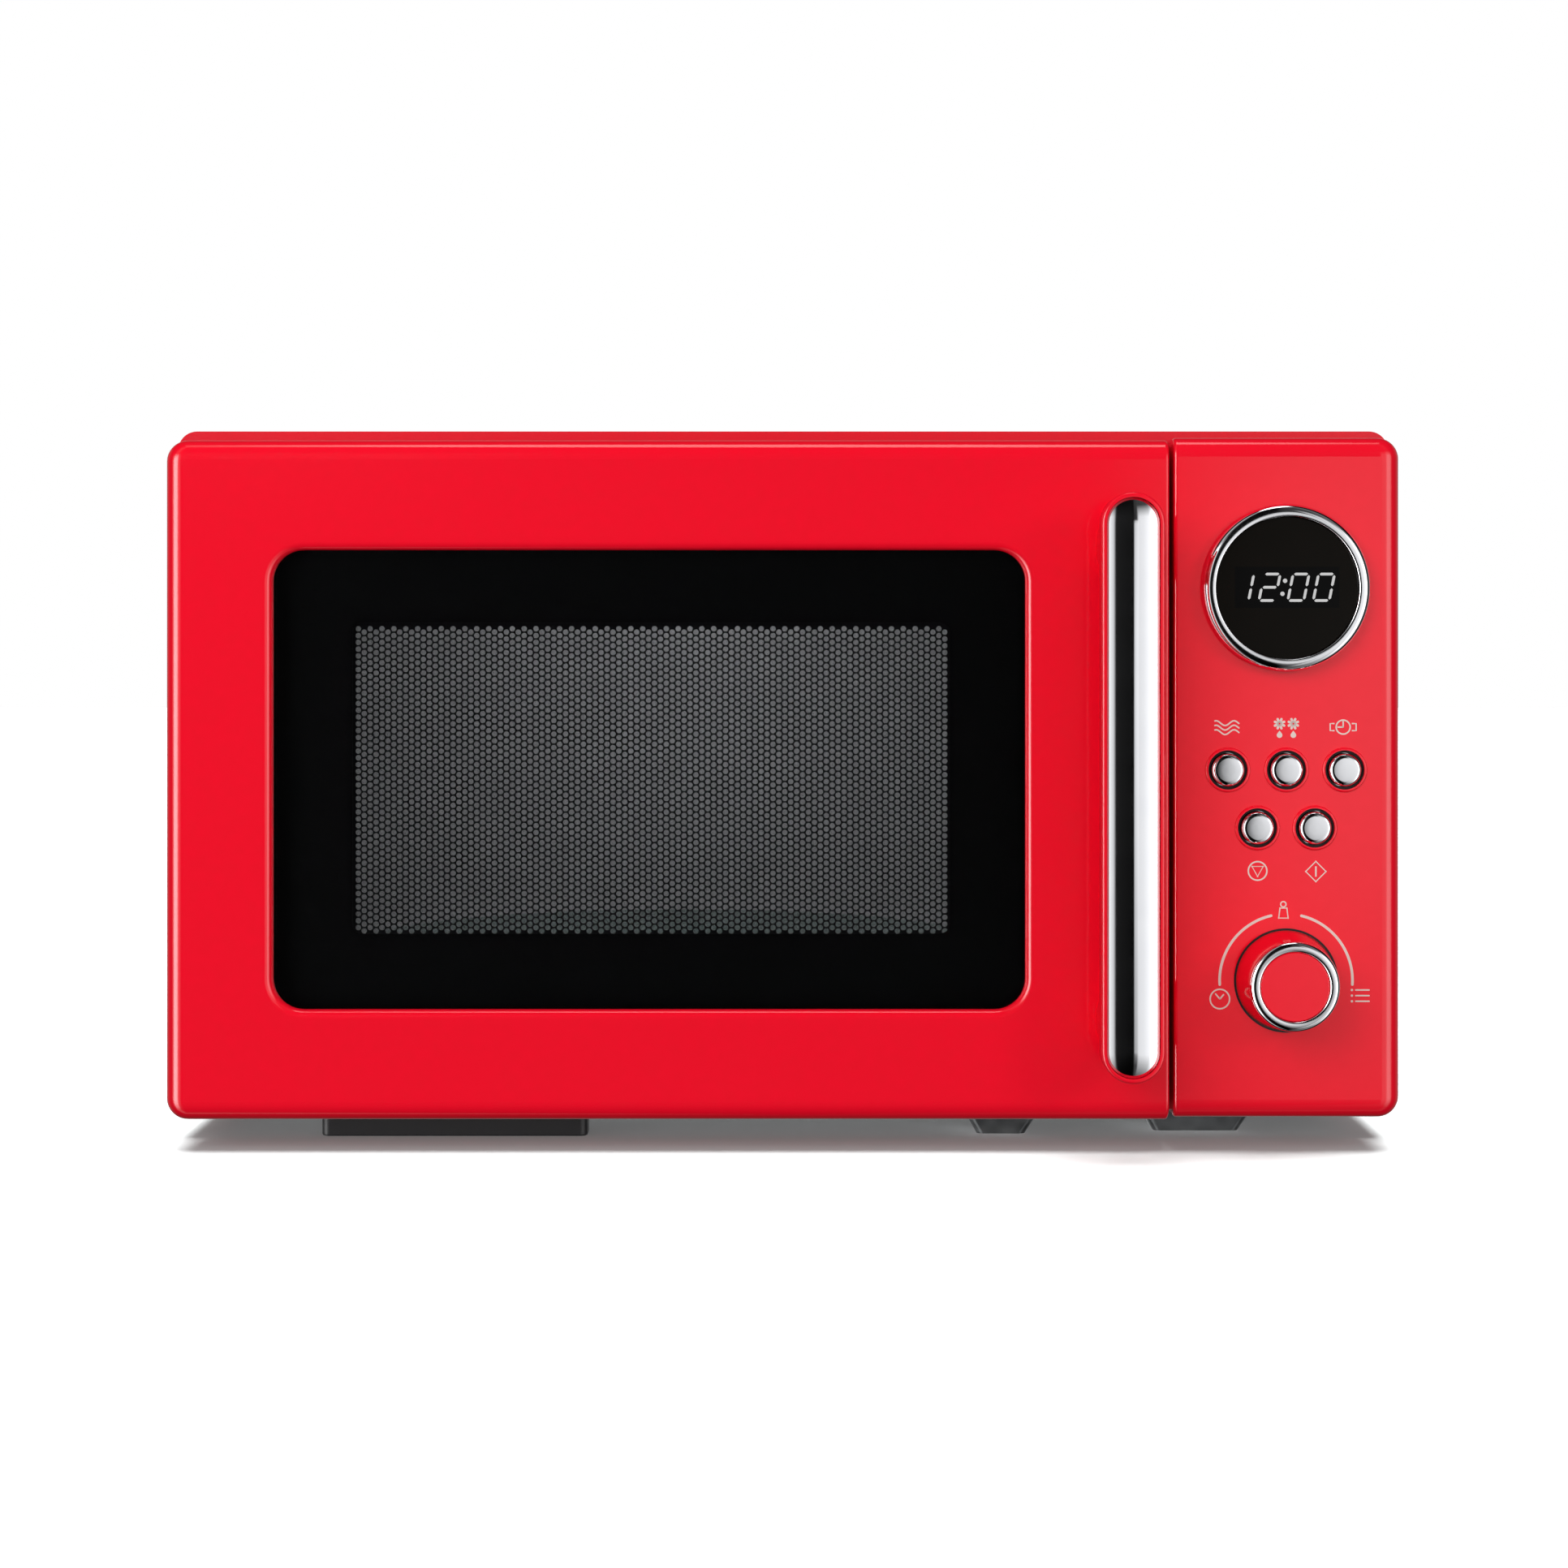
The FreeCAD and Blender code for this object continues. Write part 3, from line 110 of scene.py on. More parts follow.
# moulded, plated, painted and rolled finishes by material slot; grain is the size of the pattern along x, y and z
# and relief its height, both in mm
looks = {
    # gloss ABS, injection moulded: a wet red skin with the faintest orange peel in its reflections
    "red_plastic": ("abs gloss moulded red", {
        "colour": "#F10E28", "secondColour": "#EE0D26", "grain": (3.5, 3.5, 3.5), "relief": 0.0025,
        "pattern": noise, "patternSettings": flat, "roughness": (0.07, 0.1),
        "shader": {"IOR": 1.54, "Specular IOR Level": 0.5}}),
    # sheet steel, powder coated: a slightly softer gloss with a visible peel
    "red_steel": ("steel powder coated red", {
        "colour": "#DE0E27", "secondColour": "#D60C24", "grain": (2.6, 2.6, 2.6), "relief": 0.012,
        "pattern": noise, "patternSettings": fine, "roughness": (0.18, 0.26),
        "shader": {"IOR": 1.5}}),
    # zinc plated sheet: cool grey crystals with soft mirror glints
    "zinc_steel": ("steel zinc plated", {
        "colour": "#A9ACAF", "secondColour": "#C3C6C8", "grain": (6.0, 6.0, 6.0), "relief": 0.01,
        "pattern": cells, "patternSettings": flakes, "roughness": (0.28, 0.42),
        "shader": {"Metallic": 1.0}}),
    # vitreous enamel on the oven's walls: pale grey, wipe-clean, slightly uneven
    "cavity_enamel": ("steel enamelled grey", {
        "colour": "#C9C9C6", "secondColour": "#BDBDBA", "grain": (1.4, 1.4, 1.4), "relief": 0.01,
        "pattern": noise, "patternSettings": fine, "roughness": (0.2, 0.32),
        "shader": {"IOR": 1.5}}),
    # bright chrome on moulded plastic: mirror with a very slight waviness
    "bright_chrome": ("plastic chrome plated", {
        "colour": "#F3F4F7", "secondColour": "#EFF0F4", "grain": (7.0, 7.0, 7.0), "relief": 0.002,
        "pattern": noise, "patternSettings": flat, "roughness": (0.06, 0.09),
        "shader": {"Metallic": 1.0}}),
    # satin black stove paint on the screen and choke
    "black_steel": ("steel painted satin black", {
        "colour": "#17171A", "secondColour": "#1D1D20", "grain": (0.9, 0.9, 0.9), "relief": 0.006,
        "pattern": noise, "patternSettings": fine, "roughness": (0.32, 0.42),
        "shader": {"IOR": 1.5}}),
    # smoked acrylic of the display lens, coated against glare: nearly black with a warm cast
    "lens_black": ("acrylic polished smoked", {
        "colour": "#0C0A07", "secondColour": "#0F0C09", "grain": (9.0, 9.0, 9.0), "relief": 0.001,
        "pattern": noise, "patternSettings": flat, "roughness": (0.04, 0.07),
        "shader": {"IOR": 1.49, "Specular IOR Level": 0.06}}),
    # spark-textured moulded plastic: dull black with a fine even grain
    "black_plastic": ("plastic moulded black", {
        "colour": "#141416", "secondColour": "#1B1B1D", "grain": (0.7, 0.7, 0.7), "relief": 0.015,
        "pattern": noise, "patternSettings": fine, "roughness": (0.42, 0.55),
        "shader": {"IOR": 1.5}}),
    # moulded grey plastic of small inner parts
    "grey_plastic": ("plastic moulded grey", {
        "colour": "#7C7E82", "secondColour": "#74767A", "grain": (0.8, 0.8, 0.8), "relief": 0.012,
        "pattern": noise, "patternSettings": fine, "roughness": (0.4, 0.5),
        "shader": {"IOR": 1.5}}),
    # moulded acetal: milky white and slightly waxy
    "white_plastic": ("acetal moulded white", {
        "colour": "#E2E1DC", "secondColour": "#DAD9D3", "grain": (1.5, 1.5, 1.5), "relief": 0.006,
        "pattern": noise, "patternSettings": fine, "roughness": (0.3, 0.4),
        "shader": {"IOR": 1.48, "Subsurface Weight": 0.05, "Subsurface Radius": (0.002, 0.002, 0.0015)}}),
    # moulded rubber: matte, almost no highlight
    "rubber_black": ("rubber moulded black", {
        "colour": "#19191A", "secondColour": "#202021", "grain": (0.6, 0.6, 0.6), "relief": 0.02,
        "pattern": noise, "patternSettings": fine, "roughness": (0.65, 0.8),
        "shader": {"IOR": 1.52}}),
    # turned screws: plated steel with tool marks round the head
    "screw_steel": ("steel turned and plated", {
        "colour": "#A2A4A8", "secondColour": "#BDBFC2", "grain": (0.5, 0.5, 2.0), "relief": 0.008,
        "pattern": noise, "patternSettings": fine, "roughness": (0.25, 0.38),
        "shader": {"Metallic": 1.0}}),
    # stacked core sheets: fine dark bands, drawn coarser than the real half millimetre so that they show
    "lamination": ("iron laminated and varnished", {
        "colour": "#2B2B2E", "secondColour": "#55555A", "grain": (1.2, 1.2, 1.2), "relief": 0.05,
        "pattern": wave, "patternSettings": bands, "roughness": (0.35, 0.55),
        "shader": {"Metallic": 0.6}}),
    # enamelled copper wire wound in layers: fine bright ridges
    "copper_winding": ("copper enamelled wound", {
        "colour": "#7A3514", "secondColour": "#C9733B", "grain": (1.0, 1.0, 1.0), "relief": 0.15,
        "pattern": wave, "patternSettings": bands, "roughness": (0.25, 0.45),
        "shader": {"Metallic": 0.8}}),
    # mill-finish aluminium: dull silver with a rolled direction
    "bare_aluminium": ("aluminium rolled", {
        "colour": "#B4B6BA", "secondColour": "#CDCFD2", "grain": (0.7, 12.0, 12.0), "relief": 0.006,
        "pattern": noise, "patternSettings": fine, "roughness": (0.28, 0.42),
        "shader": {"Metallic": 1.0}}),
    # pressed mica sheet: tan flakes with a slight pearly shine
    "mica": ("mica pressed sheet", {
        "colour": "#A3987F", "secondColour": "#C2B89F", "grain": (3.0, 3.0, 3.0), "relief": 0.02,
        "pattern": cells, "patternSettings": flakes, "roughness": (0.3, 0.5),
        "shader": {"IOR": 1.58}}),
    # solder mask over glass fibre board: green with a fine weave
    "circuit_green": ("board solder masked green", {
        "colour": "#0F4A24", "secondColour": "#14572C", "grain": (0.8, 0.8, 0.8), "relief": 0.01,
        "pattern": noise, "patternSettings": fine, "roughness": (0.25, 0.35),
        "shader": {"IOR": 1.5}}),
}
materials = {slotName: makeSurface(name, look) for slotName, (name, look) in looks.items()}


def makeGlass(name, look):
    # a thin sheet that lets the view through, tinted, and mirrors more towards grazing angles
    material, tree = startMaterial(name)
    place = addNode(tree, "ShaderNodeTexCoord")
    spread = addNode(tree, "ShaderNodeMapping", {"Scale": [1 / (look["grain"] * mm)] * 3},
                     {"Vector": place.outputs["Object"]})
    ripple = addNode(tree, noise, flat, {"Vector": spread.outputs["Vector"]})
    relief = addNode(tree, "ShaderNodeBump", {"Strength": 1.0, "Distance": look["relief"] * mm},
                     {"Height": ripple.outputs[0]})
    roughness = addNode(tree, "ShaderNodeMapRange", {"To Min": look["roughness"][0], "To Max": look["roughness"][1]},
                        {"Value": ripple.outputs[0]})
    through = addNode(tree, "ShaderNodeBsdfTransparent", {"Color": linear(look["tint"])})
    mirror = addNode(tree, "ShaderNodeBsdfGlossy", {"Color": (1, 1, 1, 1)},
                     {"Roughness": roughness.outputs["Result"], "Normal": relief.outputs["Normal"]})
    # mirror share by angle, the same for both sides of the sheet
    straight = ((look["ior"] - 1) / (look["ior"] + 1)) ** 2
    slant = addNode(tree, "ShaderNodeLayerWeight", {"Blend": 0.5}, {"Normal": relief.outputs["Normal"]})
    steepness = addNode(tree, "ShaderNodeMath", {"operation": "POWER", 1: 5.0}, {0: slant.outputs["Facing"]})
    facing = addNode(tree, "ShaderNodeMath", {"operation": "MULTIPLY_ADD", 1: 1 - straight, 2: straight},
                     {0: steepness.outputs[0]})
    both = addNode(tree, "ShaderNodeMixShader", {}, {0: facing.outputs[0], 1: through.outputs[0],
                                                     2: mirror.outputs[0]})
    addNode(tree, "ShaderNodeOutputMaterial", {}, {"Surface": both.outputs[0]})
    return material


glasses = {
    # tempered soda-lime glass, smoked: darkens what lies behind it and keeps a clean black gloss
    "black_glass": ("glass tempered smoked", {"tint": "#C9C9CB", "ior": 1.52, "grain": 40.0, "relief": 0.001,
                                              "roughness": (0.0, 0.01)}),
    # clear film inside the door: nearly invisible but for a faint sheen
    "clear_film": ("film polyester clear", {"tint": "#F2F4F4", "ior": 1.45, "grain": 25.0, "relief": 0.01,
                                            "roughness": (0.02, 0.06)}),
    # pressed glass tray: pale green and slightly wavy
    "clear_glass": ("glass pressed clear", {"tint": "#EDF4F2", "ior": 1.52, "grain": 14.0, "relief": 0.02,
                                            "roughness": (0.01, 0.03)}),
    # blown lamp envelope
    "lamp_glass": ("glass blown clear", {"tint": "#F1F0EA", "ior": 1.5, "grain": 8.0, "relief": 0.01,
                                         "roughness": (0.0, 0.02)}),
}
materials.update({slotName: makeGlass(name, look) for slotName, (name, look) in glasses.items()})
# every piece carried over from the design takes the finish of its own slot
for node in nodes.values():
    slotName = node.data.materials[0].name.split(".")[0]
    node.data.materials[0] = materials[slotName]
print("stage: materials", len(materials))


def roundedLoop(x, z, radius, y, steps=8):
    # points of a rounded rectangle in the front plane at depth y, anticlockwise from the lower right corner
    corners = ((x[1] - radius, z[0] + radius, -90), (x[1] - radius, z[1] - radius, 0),
               (x[0] + radius, z[1] - radius, 90), (x[0] + radius, z[0] + radius, 180))
    points = []
    for cx, cz, start in corners:
        for step in range(steps + 1):
            angle = math.radians(start + 90 * step / steps)
            points.append((cx + radius * math.cos(angle), y, cz + radius * math.sin(angle)))
    return points


def circleLoop(centre, radius, y, steps=96):
    turn = [2 * math.pi * step / steps for step in range(steps)]
    return [(centre[0] + radius * math.cos(a), y, centre[1] + radius * math.sin(a)) for a in turn]


def loft(loops, closed=False, capFirst=False, capLast=False):
    # quads between successive loops of equal length: returns points and faces
    count = len(loops[0])
    points = [point for loop in loops for point in loop]
    faces = []
    pairs = len(loops) if closed else len(loops) - 1
    for row in range(pairs):
        low, high = row * count, ((row + 1) % len(loops)) * count
        for i in range(count):
            j = (i + 1) % count
            faces.append((low + i, low + j, high + j, high + i))
    if capFirst:
        faces.append(tuple(reversed(range(count))))
    if capLast:
        faces.append(tuple(range((len(loops) - 1) * count, len(loops) * count)))
    return points, faces


def turned(centre, profile, closed=True, capFirst=False, capLast=False):
    # a shape turned about the front-to-back line through centre; profile holds (radius, height before the face)
    return loft([circleLoop(centre, radius, frontFace - height) for radius, height in profile],
                closed, capFirst, capLast)


def arcPoints(centre, radius, start, end, steps=8):
    # points on a circle in a profile, from start to end in degrees
    angles = [math.radians(start + (end - start) * step / steps) for step in range(steps + 1)]
    return [(centre[0] + radius * math.cos(a), centre[1] + radius * math.sin(a)) for a in angles]


def addPiece(name, shapes, slotName, body, smoothAngle=30):
    # one mesh object out of lofted shapes in millimetres, finished and riding its body
    points, faces = [], []
    for shapePoints, shapeFaces in shapes:
        offset = len(points)
        points += [(x * mm, y * mm, z * mm) for x, y, z in shapePoints]
        faces += [tuple(index + offset for index in face) for face in shapeFaces]
    mesh = bpy.data.meshes.new(name)
    mesh.from_pydata(points, [], faces)
    finishMesh(mesh, smoothAngle)
    piece = bpy.data.objects.new(name, mesh)
    bpy.context.scene.collection.objects.link(piece)
    mesh.materials.append(materials[slotName])
    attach(piece, body)
    return piece


def finishMesh(mesh, smoothAngle):
    # outward faces, smooth except where two faces meet at more than the angle
    work = bmesh.new()
    work.from_mesh(mesh)
    bmesh.ops.recalc_face_normals(work, faces=work.faces)
    work.to_mesh(mesh)
    work.free()
    mesh.shade_smooth()
    mesh.set_sharp_from_angle(angle=math.radians(smoothAngle))


# the steel screen in the door: the plain plate of the design with a field of punched holes
screen = {"x": (-152.9, 58.9), "z": (78.6, 188.2), "columnStep": 2.12, "rowStep": 2.43, "hole": 1.02,
          "front": -137.5, "back": -136.7, "corner": 3.8, "smallestGap": 0.01, "cutBeyond": 1,
          "smoothAngle": 50}


def buildDoorScreen():
    columns = round((screen["x"][1] - screen["x"][0]) / screen["columnStep"])
    rows = round((screen["z"][1] - screen["z"][0]) / screen["rowStep"])
    wide, high = screen["columnStep"], screen["rowStep"]
    left, low = screen["x"][0], screen["z"][0]
    field = ((left, left + columns * wide), (low - high / 2, low + rows * high))
    turns = [math.radians(22.5 + 45 * step) for step in range(8)]
    ring = [(screen["hole"] * math.cos(a), screen["hole"] * math.sin(a)) for a in turns]
    layer = len(ring) + 4  # points of one cell on each side of the sheet
    points, faces = [], []
    for column in range(columns):
        base = low - high / 2 * (column % 2)
        middle = left + (column + 0.5) * wide
        for row in range(rows):
            centre = base + (row + 0.5) * high
            start = len(points)
            for y in (screen["front"], screen["back"]):
                points += [(middle + x, y, centre + z) for x, z in ring]
                points += [(middle + x * wide / 2, y, centre + z * high / 2)
                           for x, z in ((1, 1), (1, -1), (-1, -1), (-1, 1))]
            # octagon corners 0 to 7 anticlockwise from the right, cell corners 8 to 11 clockwise from the upper right
            cell = ((0, 7, 9, 8), (2, 1, 8, 11), (4, 3, 11, 10), (6, 5, 10, 9),
                    (1, 0, 8), (3, 2, 11), (5, 4, 10), (7, 6, 9))
            for face in cell:
                faces.append(tuple(start + i for i in face))
                faces.append(tuple(start + layer + i for i in reversed(face)))
            for i in range(8):
                j = (i + 1) % 8
                faces.append((start + i, start + j, start + layer + j, start + layer + i))
        # every other column stands half a row lower, so a plain strip fills the free end of each column
        filler = (base + rows * high, field[1][1]) if column % 2 else (field[1][0], base)
        if filler[1] - filler[0] > screen["smallestGap"]:
            start = len(points)
            for y in (screen["front"], screen["back"]):
                points += [(middle + x * wide / 2, y, z) for x, z in
                           ((-1, filler[0]), (1, filler[0]), (1, filler[1]), (-1, filler[1]))]
            faces += [(start, start + 1, start + 2, start + 3), (start + 7, start + 6, start + 5, start + 4)]
    plate = cutField(nodes["door_screen"], field)
    offset = len(plate.vertices)
    allPoints = [tuple(v.co) for v in plate.vertices] + [(x * mm, y * mm, z * mm) for x, y, z in points]
    allFaces = [tuple(p.vertices) for p in plate.polygons] + [tuple(i + offset for i in face) for face in faces]
    mesh = bpy.data.meshes.new("doorScreen")
    mesh.from_pydata(allPoints, [], allFaces)
    mesh.materials.append(materials["black_steel"])
    mesh.shade_smooth()
    mesh.set_sharp_from_angle(angle=math.radians(screen["smoothAngle"]))
    piece = bpy.data.objects.new("doorScreen", mesh)
    bpy.context.scene.collection.objects.link(piece)
    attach(piece, "door")
    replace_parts(piece, "door_screen")


def cutField(source, field):
    # a copy of the plate's mesh with the rectangle of the hole field taken out
    copy = bpy.data.objects.new("plateCopy", source.data.copy())
    cutterMesh = bpy.data.meshes.new("cutter")
    (x0, x1), (z0, z1) = field
    front, back = screen["front"] - screen["cutBeyond"], screen["back"] + screen["cutBeyond"]
    loops = [[(x0, y, z0), (x1, y, z0), (x1, y, z1), (x0, y, z1)] for y in (front, back)]
    points, faces = loft(loops, capFirst=True, capLast=True)
    cutterMesh.from_pydata([(x * mm, y * mm, z * mm) for x, y, z in points], [], faces)
    finishMesh(cutterMesh, 30)
    cutter = bpy.data.objects.new("cutter", cutterMesh)
    for thing in (copy, cutter):
        bpy.context.scene.collection.objects.link(thing)
    modifier = copy.modifiers.new("field", "BOOLEAN")
    modifier.operation = "DIFFERENCE"
    modifier.solver = "EXACT"
    modifier.object = cutter
    bpy.context.view_layer.update()
    result = bpy.data.meshes.new_from_object(copy.evaluated_get(bpy.context.evaluated_depsgraph_get()))
    bpy.data.objects.remove(copy)
    bpy.data.objects.remove(cutter)
    return result


buildDoorScreen()

# black border fired onto the back of the window glass, round the hole field
border = {"x": (-187.4, 92.4), "z": (45.2, 220.7), "corner": 14.0, "front": -138.75, "back": -138.55, "margin": 0.9}
inner = [(screen["x"][0] - border["margin"], screen["x"][1] + border["margin"]),
         (screen["z"][0] - border["margin"], screen["z"][1] + border["margin"])]
borderLoops = []
for x, z, radius, y in ((border["x"], border["z"], border["corner"], border["front"]),
                        (border["x"], border["z"], border["corner"], border["back"]),
                        (inner[0], inner[1], screen["corner"], border["back"]),
                        (inner[0], inner[1], screen["corner"], border["front"])):
    borderLoops.append(roundedLoop(x, z, radius, y))
materials["black_steel.fired"] = makeSurface("enamel fired black border", {
    # ceramic ink fired onto glass: a flat, even black that hides what lies behind it
    "colour": "#020202", "secondColour": "#030303", "grain": (1.0, 1.0, 1.0), "relief": 0.001,
    "pattern": noise, "patternSettings": fine, "roughness": (0.5, 0.6), "shader": {"IOR": 1.45}})
addPiece("windowBorder", [loft(borderLoops, closed=True)], "black_steel.fired", "door")
print("stage: window")

# crowned chrome strip on the handle: its edge is rounded by steps (distance in from the side, extra depth)
trim = {"x": 121.3, "z": (31.45, 232.15), "halfWidth": 9.2, "front": -178.5, "depth": 3.0, "radius": 22.8,
        "edge": ((0.0, 0.35), (0.05, 0.15), (0.18, 0.0)), "crown": (0.6, 1.4, 2.6, 4.0, 5.5, 7.0, 8.2, 9.1),
        "endFlat": 0.01}


def trimHeight(inset):
    # how far the strip's surface lies behind its crest at that distance from its edge
    across = trim["halfWidth"] - inset
    return trim["radius"] - math.sqrt(trim["radius"] ** 2 - across ** 2)


half = trim["halfWidth"]
trimRows = [(0.0, trim["front"] + trim["depth"])]
trimRows += [(inset, trim["front"] + trimHeight(inset) + extra) for inset, extra in trim["edge"]]
trimRows += [(inset, trim["front"] + trimHeight(inset)) for inset in trim["crown"]]
trimLoops = [roundedLoop((trim["x"] - half + inset, trim["x"] + half - inset),
                         (trim["z"][0] + inset, trim["z"][1] - inset), half - inset - trim["endFlat"], y, 12)
             for inset, y in trimRows]
handleTrim = addPiece("handleTrim", [loft(trimLoops, capFirst=True, capLast=True)], "bright_chrome", "door")
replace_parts(handleTrim, "handle_trim")

# chrome ring round the display: upright inner wall, rounded shoulder outside
bezel = {"at": (178.5, 201.2), "outer": 29.6, "inner": 25.3, "crest": 6.8, "shoulder": 2.9, "lip": 0.5,
         "ledge": 22.5, "ledgeHeight": 3.0}
bezelProfile = [(bezel["ledge"], 0.0), (bezel["outer"], 0.0)]
bezelProfile += arcPoints((bezel["outer"] - bezel["shoulder"], bezel["crest"] - bezel["shoulder"]),
                          bezel["shoulder"], 0, 90, 12)
bezelProfile += arcPoints((bezel["inner"] + bezel["lip"], bezel["crest"] - bezel["lip"]), bezel["lip"], 90, 180, 5)
bezelProfile += [(bezel["inner"], bezel["ledgeHeight"]), (bezel["ledge"], bezel["ledgeHeight"])]
displayBezel = addPiece("displayBezel", [turned(bezel["at"], bezelProfile)], "bright_chrome", "chassis")
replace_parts(displayBezel, "display_bezel")

# chrome keys: flat tops with well rounded edges, each over the flange and stem it is moulded with
keyCap = {"at": ((158.2, 136.6), (179.0, 136.6), (199.7, 136.6), (168.7, 116.0), (189.1, 116.0)), "radius": 5.85,
          "top": 2.3, "rounding": 1.7, "crown": ((0.02, 0.03), (2.0, 0.025), (4.0, 0.005)), "flangeRadius": 7.8,
          "flangeFront": -4.0, "flangeBack": -5.0, "stem": 1.8}
middleRadius = 0.02  # the tiny ring that closes a turned shape at its middle
for index, centre in enumerate(keyCap["at"]):
    name = "button_" + str(index + 1)
    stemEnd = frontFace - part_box(name)[1].y / mm
    profile = [(radius, keyCap["top"] + rise) for radius, rise in keyCap["crown"]]
    profile += arcPoints((keyCap["radius"] - keyCap["rounding"], keyCap["top"] - keyCap["rounding"]),
                         keyCap["rounding"], 90, 0, 10)
    profile += [(keyCap["radius"], keyCap["flangeFront"]), (keyCap["flangeRadius"], keyCap["flangeFront"]),
                (keyCap["flangeRadius"], keyCap["flangeBack"]), (keyCap["stem"], keyCap["flangeBack"]),
                (keyCap["stem"], stemEnd), (middleRadius, stemEnd)]
    cap = addPiece("keyCap" + str(index + 1), [turned(centre, profile, False, True, True)], "bright_chrome",
                   "key_" + str(index + 1), 40)
    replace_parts(cap, name)


def flatRing(centre, size):
    # a washer with square edges, from its inner to its outer radius and from back to front
    return turned(centre, [(size["inner"], size["back"]), (size["outer"], size["back"]),
                           (size["outer"], size["front"]), (size["inner"], size["front"])])


# painted shade: black rings down in the gap round each key and a black ring round the foot of the dial, put there to
# darken gaps that are only in shadow
keyGapShade = {"inner": 6.03, "outer": 6.97, "front": -0.8, "back": -1.4}
dialFootShade = {"at": (178.9, 61.8), "inner": 14.0, "outer": 18.5, "front": 0.25, "back": 0.0}
gapShadeShapes = [flatRing(centre, keyGapShade) for centre in keyCap["at"]] + [flatRing(dialFootShade["at"], dialFootShade)]
addPiece("keyLiners", gapShadeShapes, "rubber_black", "chassis")

# front of the dial: a broad rounded chrome ring round a slightly sunken red disc
dialFront = {"at": dialFootShade["at"], "inner": 12.15, "outer": 15.8, "back": 18.0, "top": 21.0, "shoulder": 1.9,
             "lip": 0.7, "disc": 12.05, "discTop": 20.6, "discEdge": 0.3, "discFlat": 0.1, "discBack": 17.1}
ringProfile = [(dialFront["inner"], dialFront["back"]), (dialFront["outer"], dialFront["back"])]
ringProfile += arcPoints((dialFront["outer"] - dialFront["shoulder"], dialFront["top"] - dialFront["shoulder"]),
                         dialFront["shoulder"], 0, 90, 12)
ringProfile += arcPoints((dialFront["inner"] + dialFront["lip"], dialFront["top"] - dialFront["lip"]),
                         dialFront["lip"], 90, 180, 6)
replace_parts(addPiece("dialRing", [turned(dialFront["at"], ringProfile)], "bright_chrome", "knob"), "knob_ring")
# a last flat step before the edge keeps the disc's shading even
edgeStart = dialFront["disc"] - dialFront["discEdge"]
discProfile = [(middleRadius, dialFront["discTop"]), (edgeStart - dialFront["discFlat"], dialFront["discTop"])]
discProfile += arcPoints((edgeStart, dialFront["discTop"] - dialFront["discEdge"]), dialFront["discEdge"], 90, 0, 4)
discProfile += [(dialFront["disc"], dialFront["discBack"]), (middleRadius, dialFront["discBack"])]
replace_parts(addPiece("dialDisc", [turned(dialFront["at"], discProfile, False, True, True)], "red_plastic", "knob"),
            "knob_cap")
print("stage: chrome")

# coil spring over the latch rod: its top end stays against the door while the latch rises into it
spring = {"at": (127.5, -127.5), "radius": 2.6, "wire": 0.4, "low": 206.5, "high": 226.4, "turns": 7, "steps": 24}
springRows = spring["turns"] * spring["steps"]
springLoops = []
for step in range(springRows + 1):
    angle = 2 * math.pi * step / spring["steps"]
    height = spring["low"] + (spring["high"] - spring["low"]) * step / springRows
    springLoops.append([(spring["at"][0] + (spring["radius"] + across) * math.cos(angle),
                         spring["at"][1] + (spring["radius"] + across) * math.sin(angle), height + up)
                        for across, up in arcPoints((0, 0), spring["wire"], 0, 315, 7)])
latchSpring = addPiece("latchSpring", [loft(springLoops, capFirst=True, capLast=True)], "screw_steel", "door")
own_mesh(latchSpring)
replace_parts(latchSpring, "latch_spring")
print("stage: spring")

# printed symbols: a thin pale ink layer on the panel
ink = {"front": frontFace - 0.04, "back": frontFace + 0.02, "stroke": 0.52, "overlap": 0.004, "dotDepth": 0.05}


def disc(centre, radius, front):
    loops = [circleLoop(centre, radius, y, 20) for y in (front + ink["dotDepth"], front)]
    return loft(loops, capFirst=True, capLast=True)


def path(points, width, closed=False):
    # a flat line of ink along points in the front plane, with round ends and, where it has few corners, round joints
    loops = []
    count = len(points)
    for i, (x, z) in enumerate(points):
        before = points[i - 1] if i or closed else points[i]
        after = points[(i + 1) % count] if i < count - 1 or closed else points[i]
        dx, dz = after[0] - before[0], after[1] - before[1]
        size = math.hypot(dx, dz)
        nx, nz = -dz / size * width / 2, dx / size * width / 2
        loops.append([(x - nx, ink["back"], z - nz), (x - nx, ink["front"], z - nz),
                      (x + nx, ink["front"], z + nz), (x + nx, ink["back"], z + nz)])
    shapes = [loft(loops, closed, not closed, not closed)]
    ends = points if closed else (points[0], points[-1])
    if count < 9 or not closed:
        shapes += [disc(point, width / 2, ink["front"] + ink["overlap"]) for point in ends]
    return shapes


def ring(centre, radius, width):
    return path([(x, z) for x, y, z in circleLoop(centre, radius, 0, 48)], width, closed=True)


def shifted(centre, offsets):
    return [(centre[0] + x, centre[1] + z) for x, z in offsets]


def polygon(points):
    # a filled shape of ink
    return [loft([[(x, y, z) for x, z in points] for y in (ink["back"], ink["front"])], capFirst=True, capLast=True)]


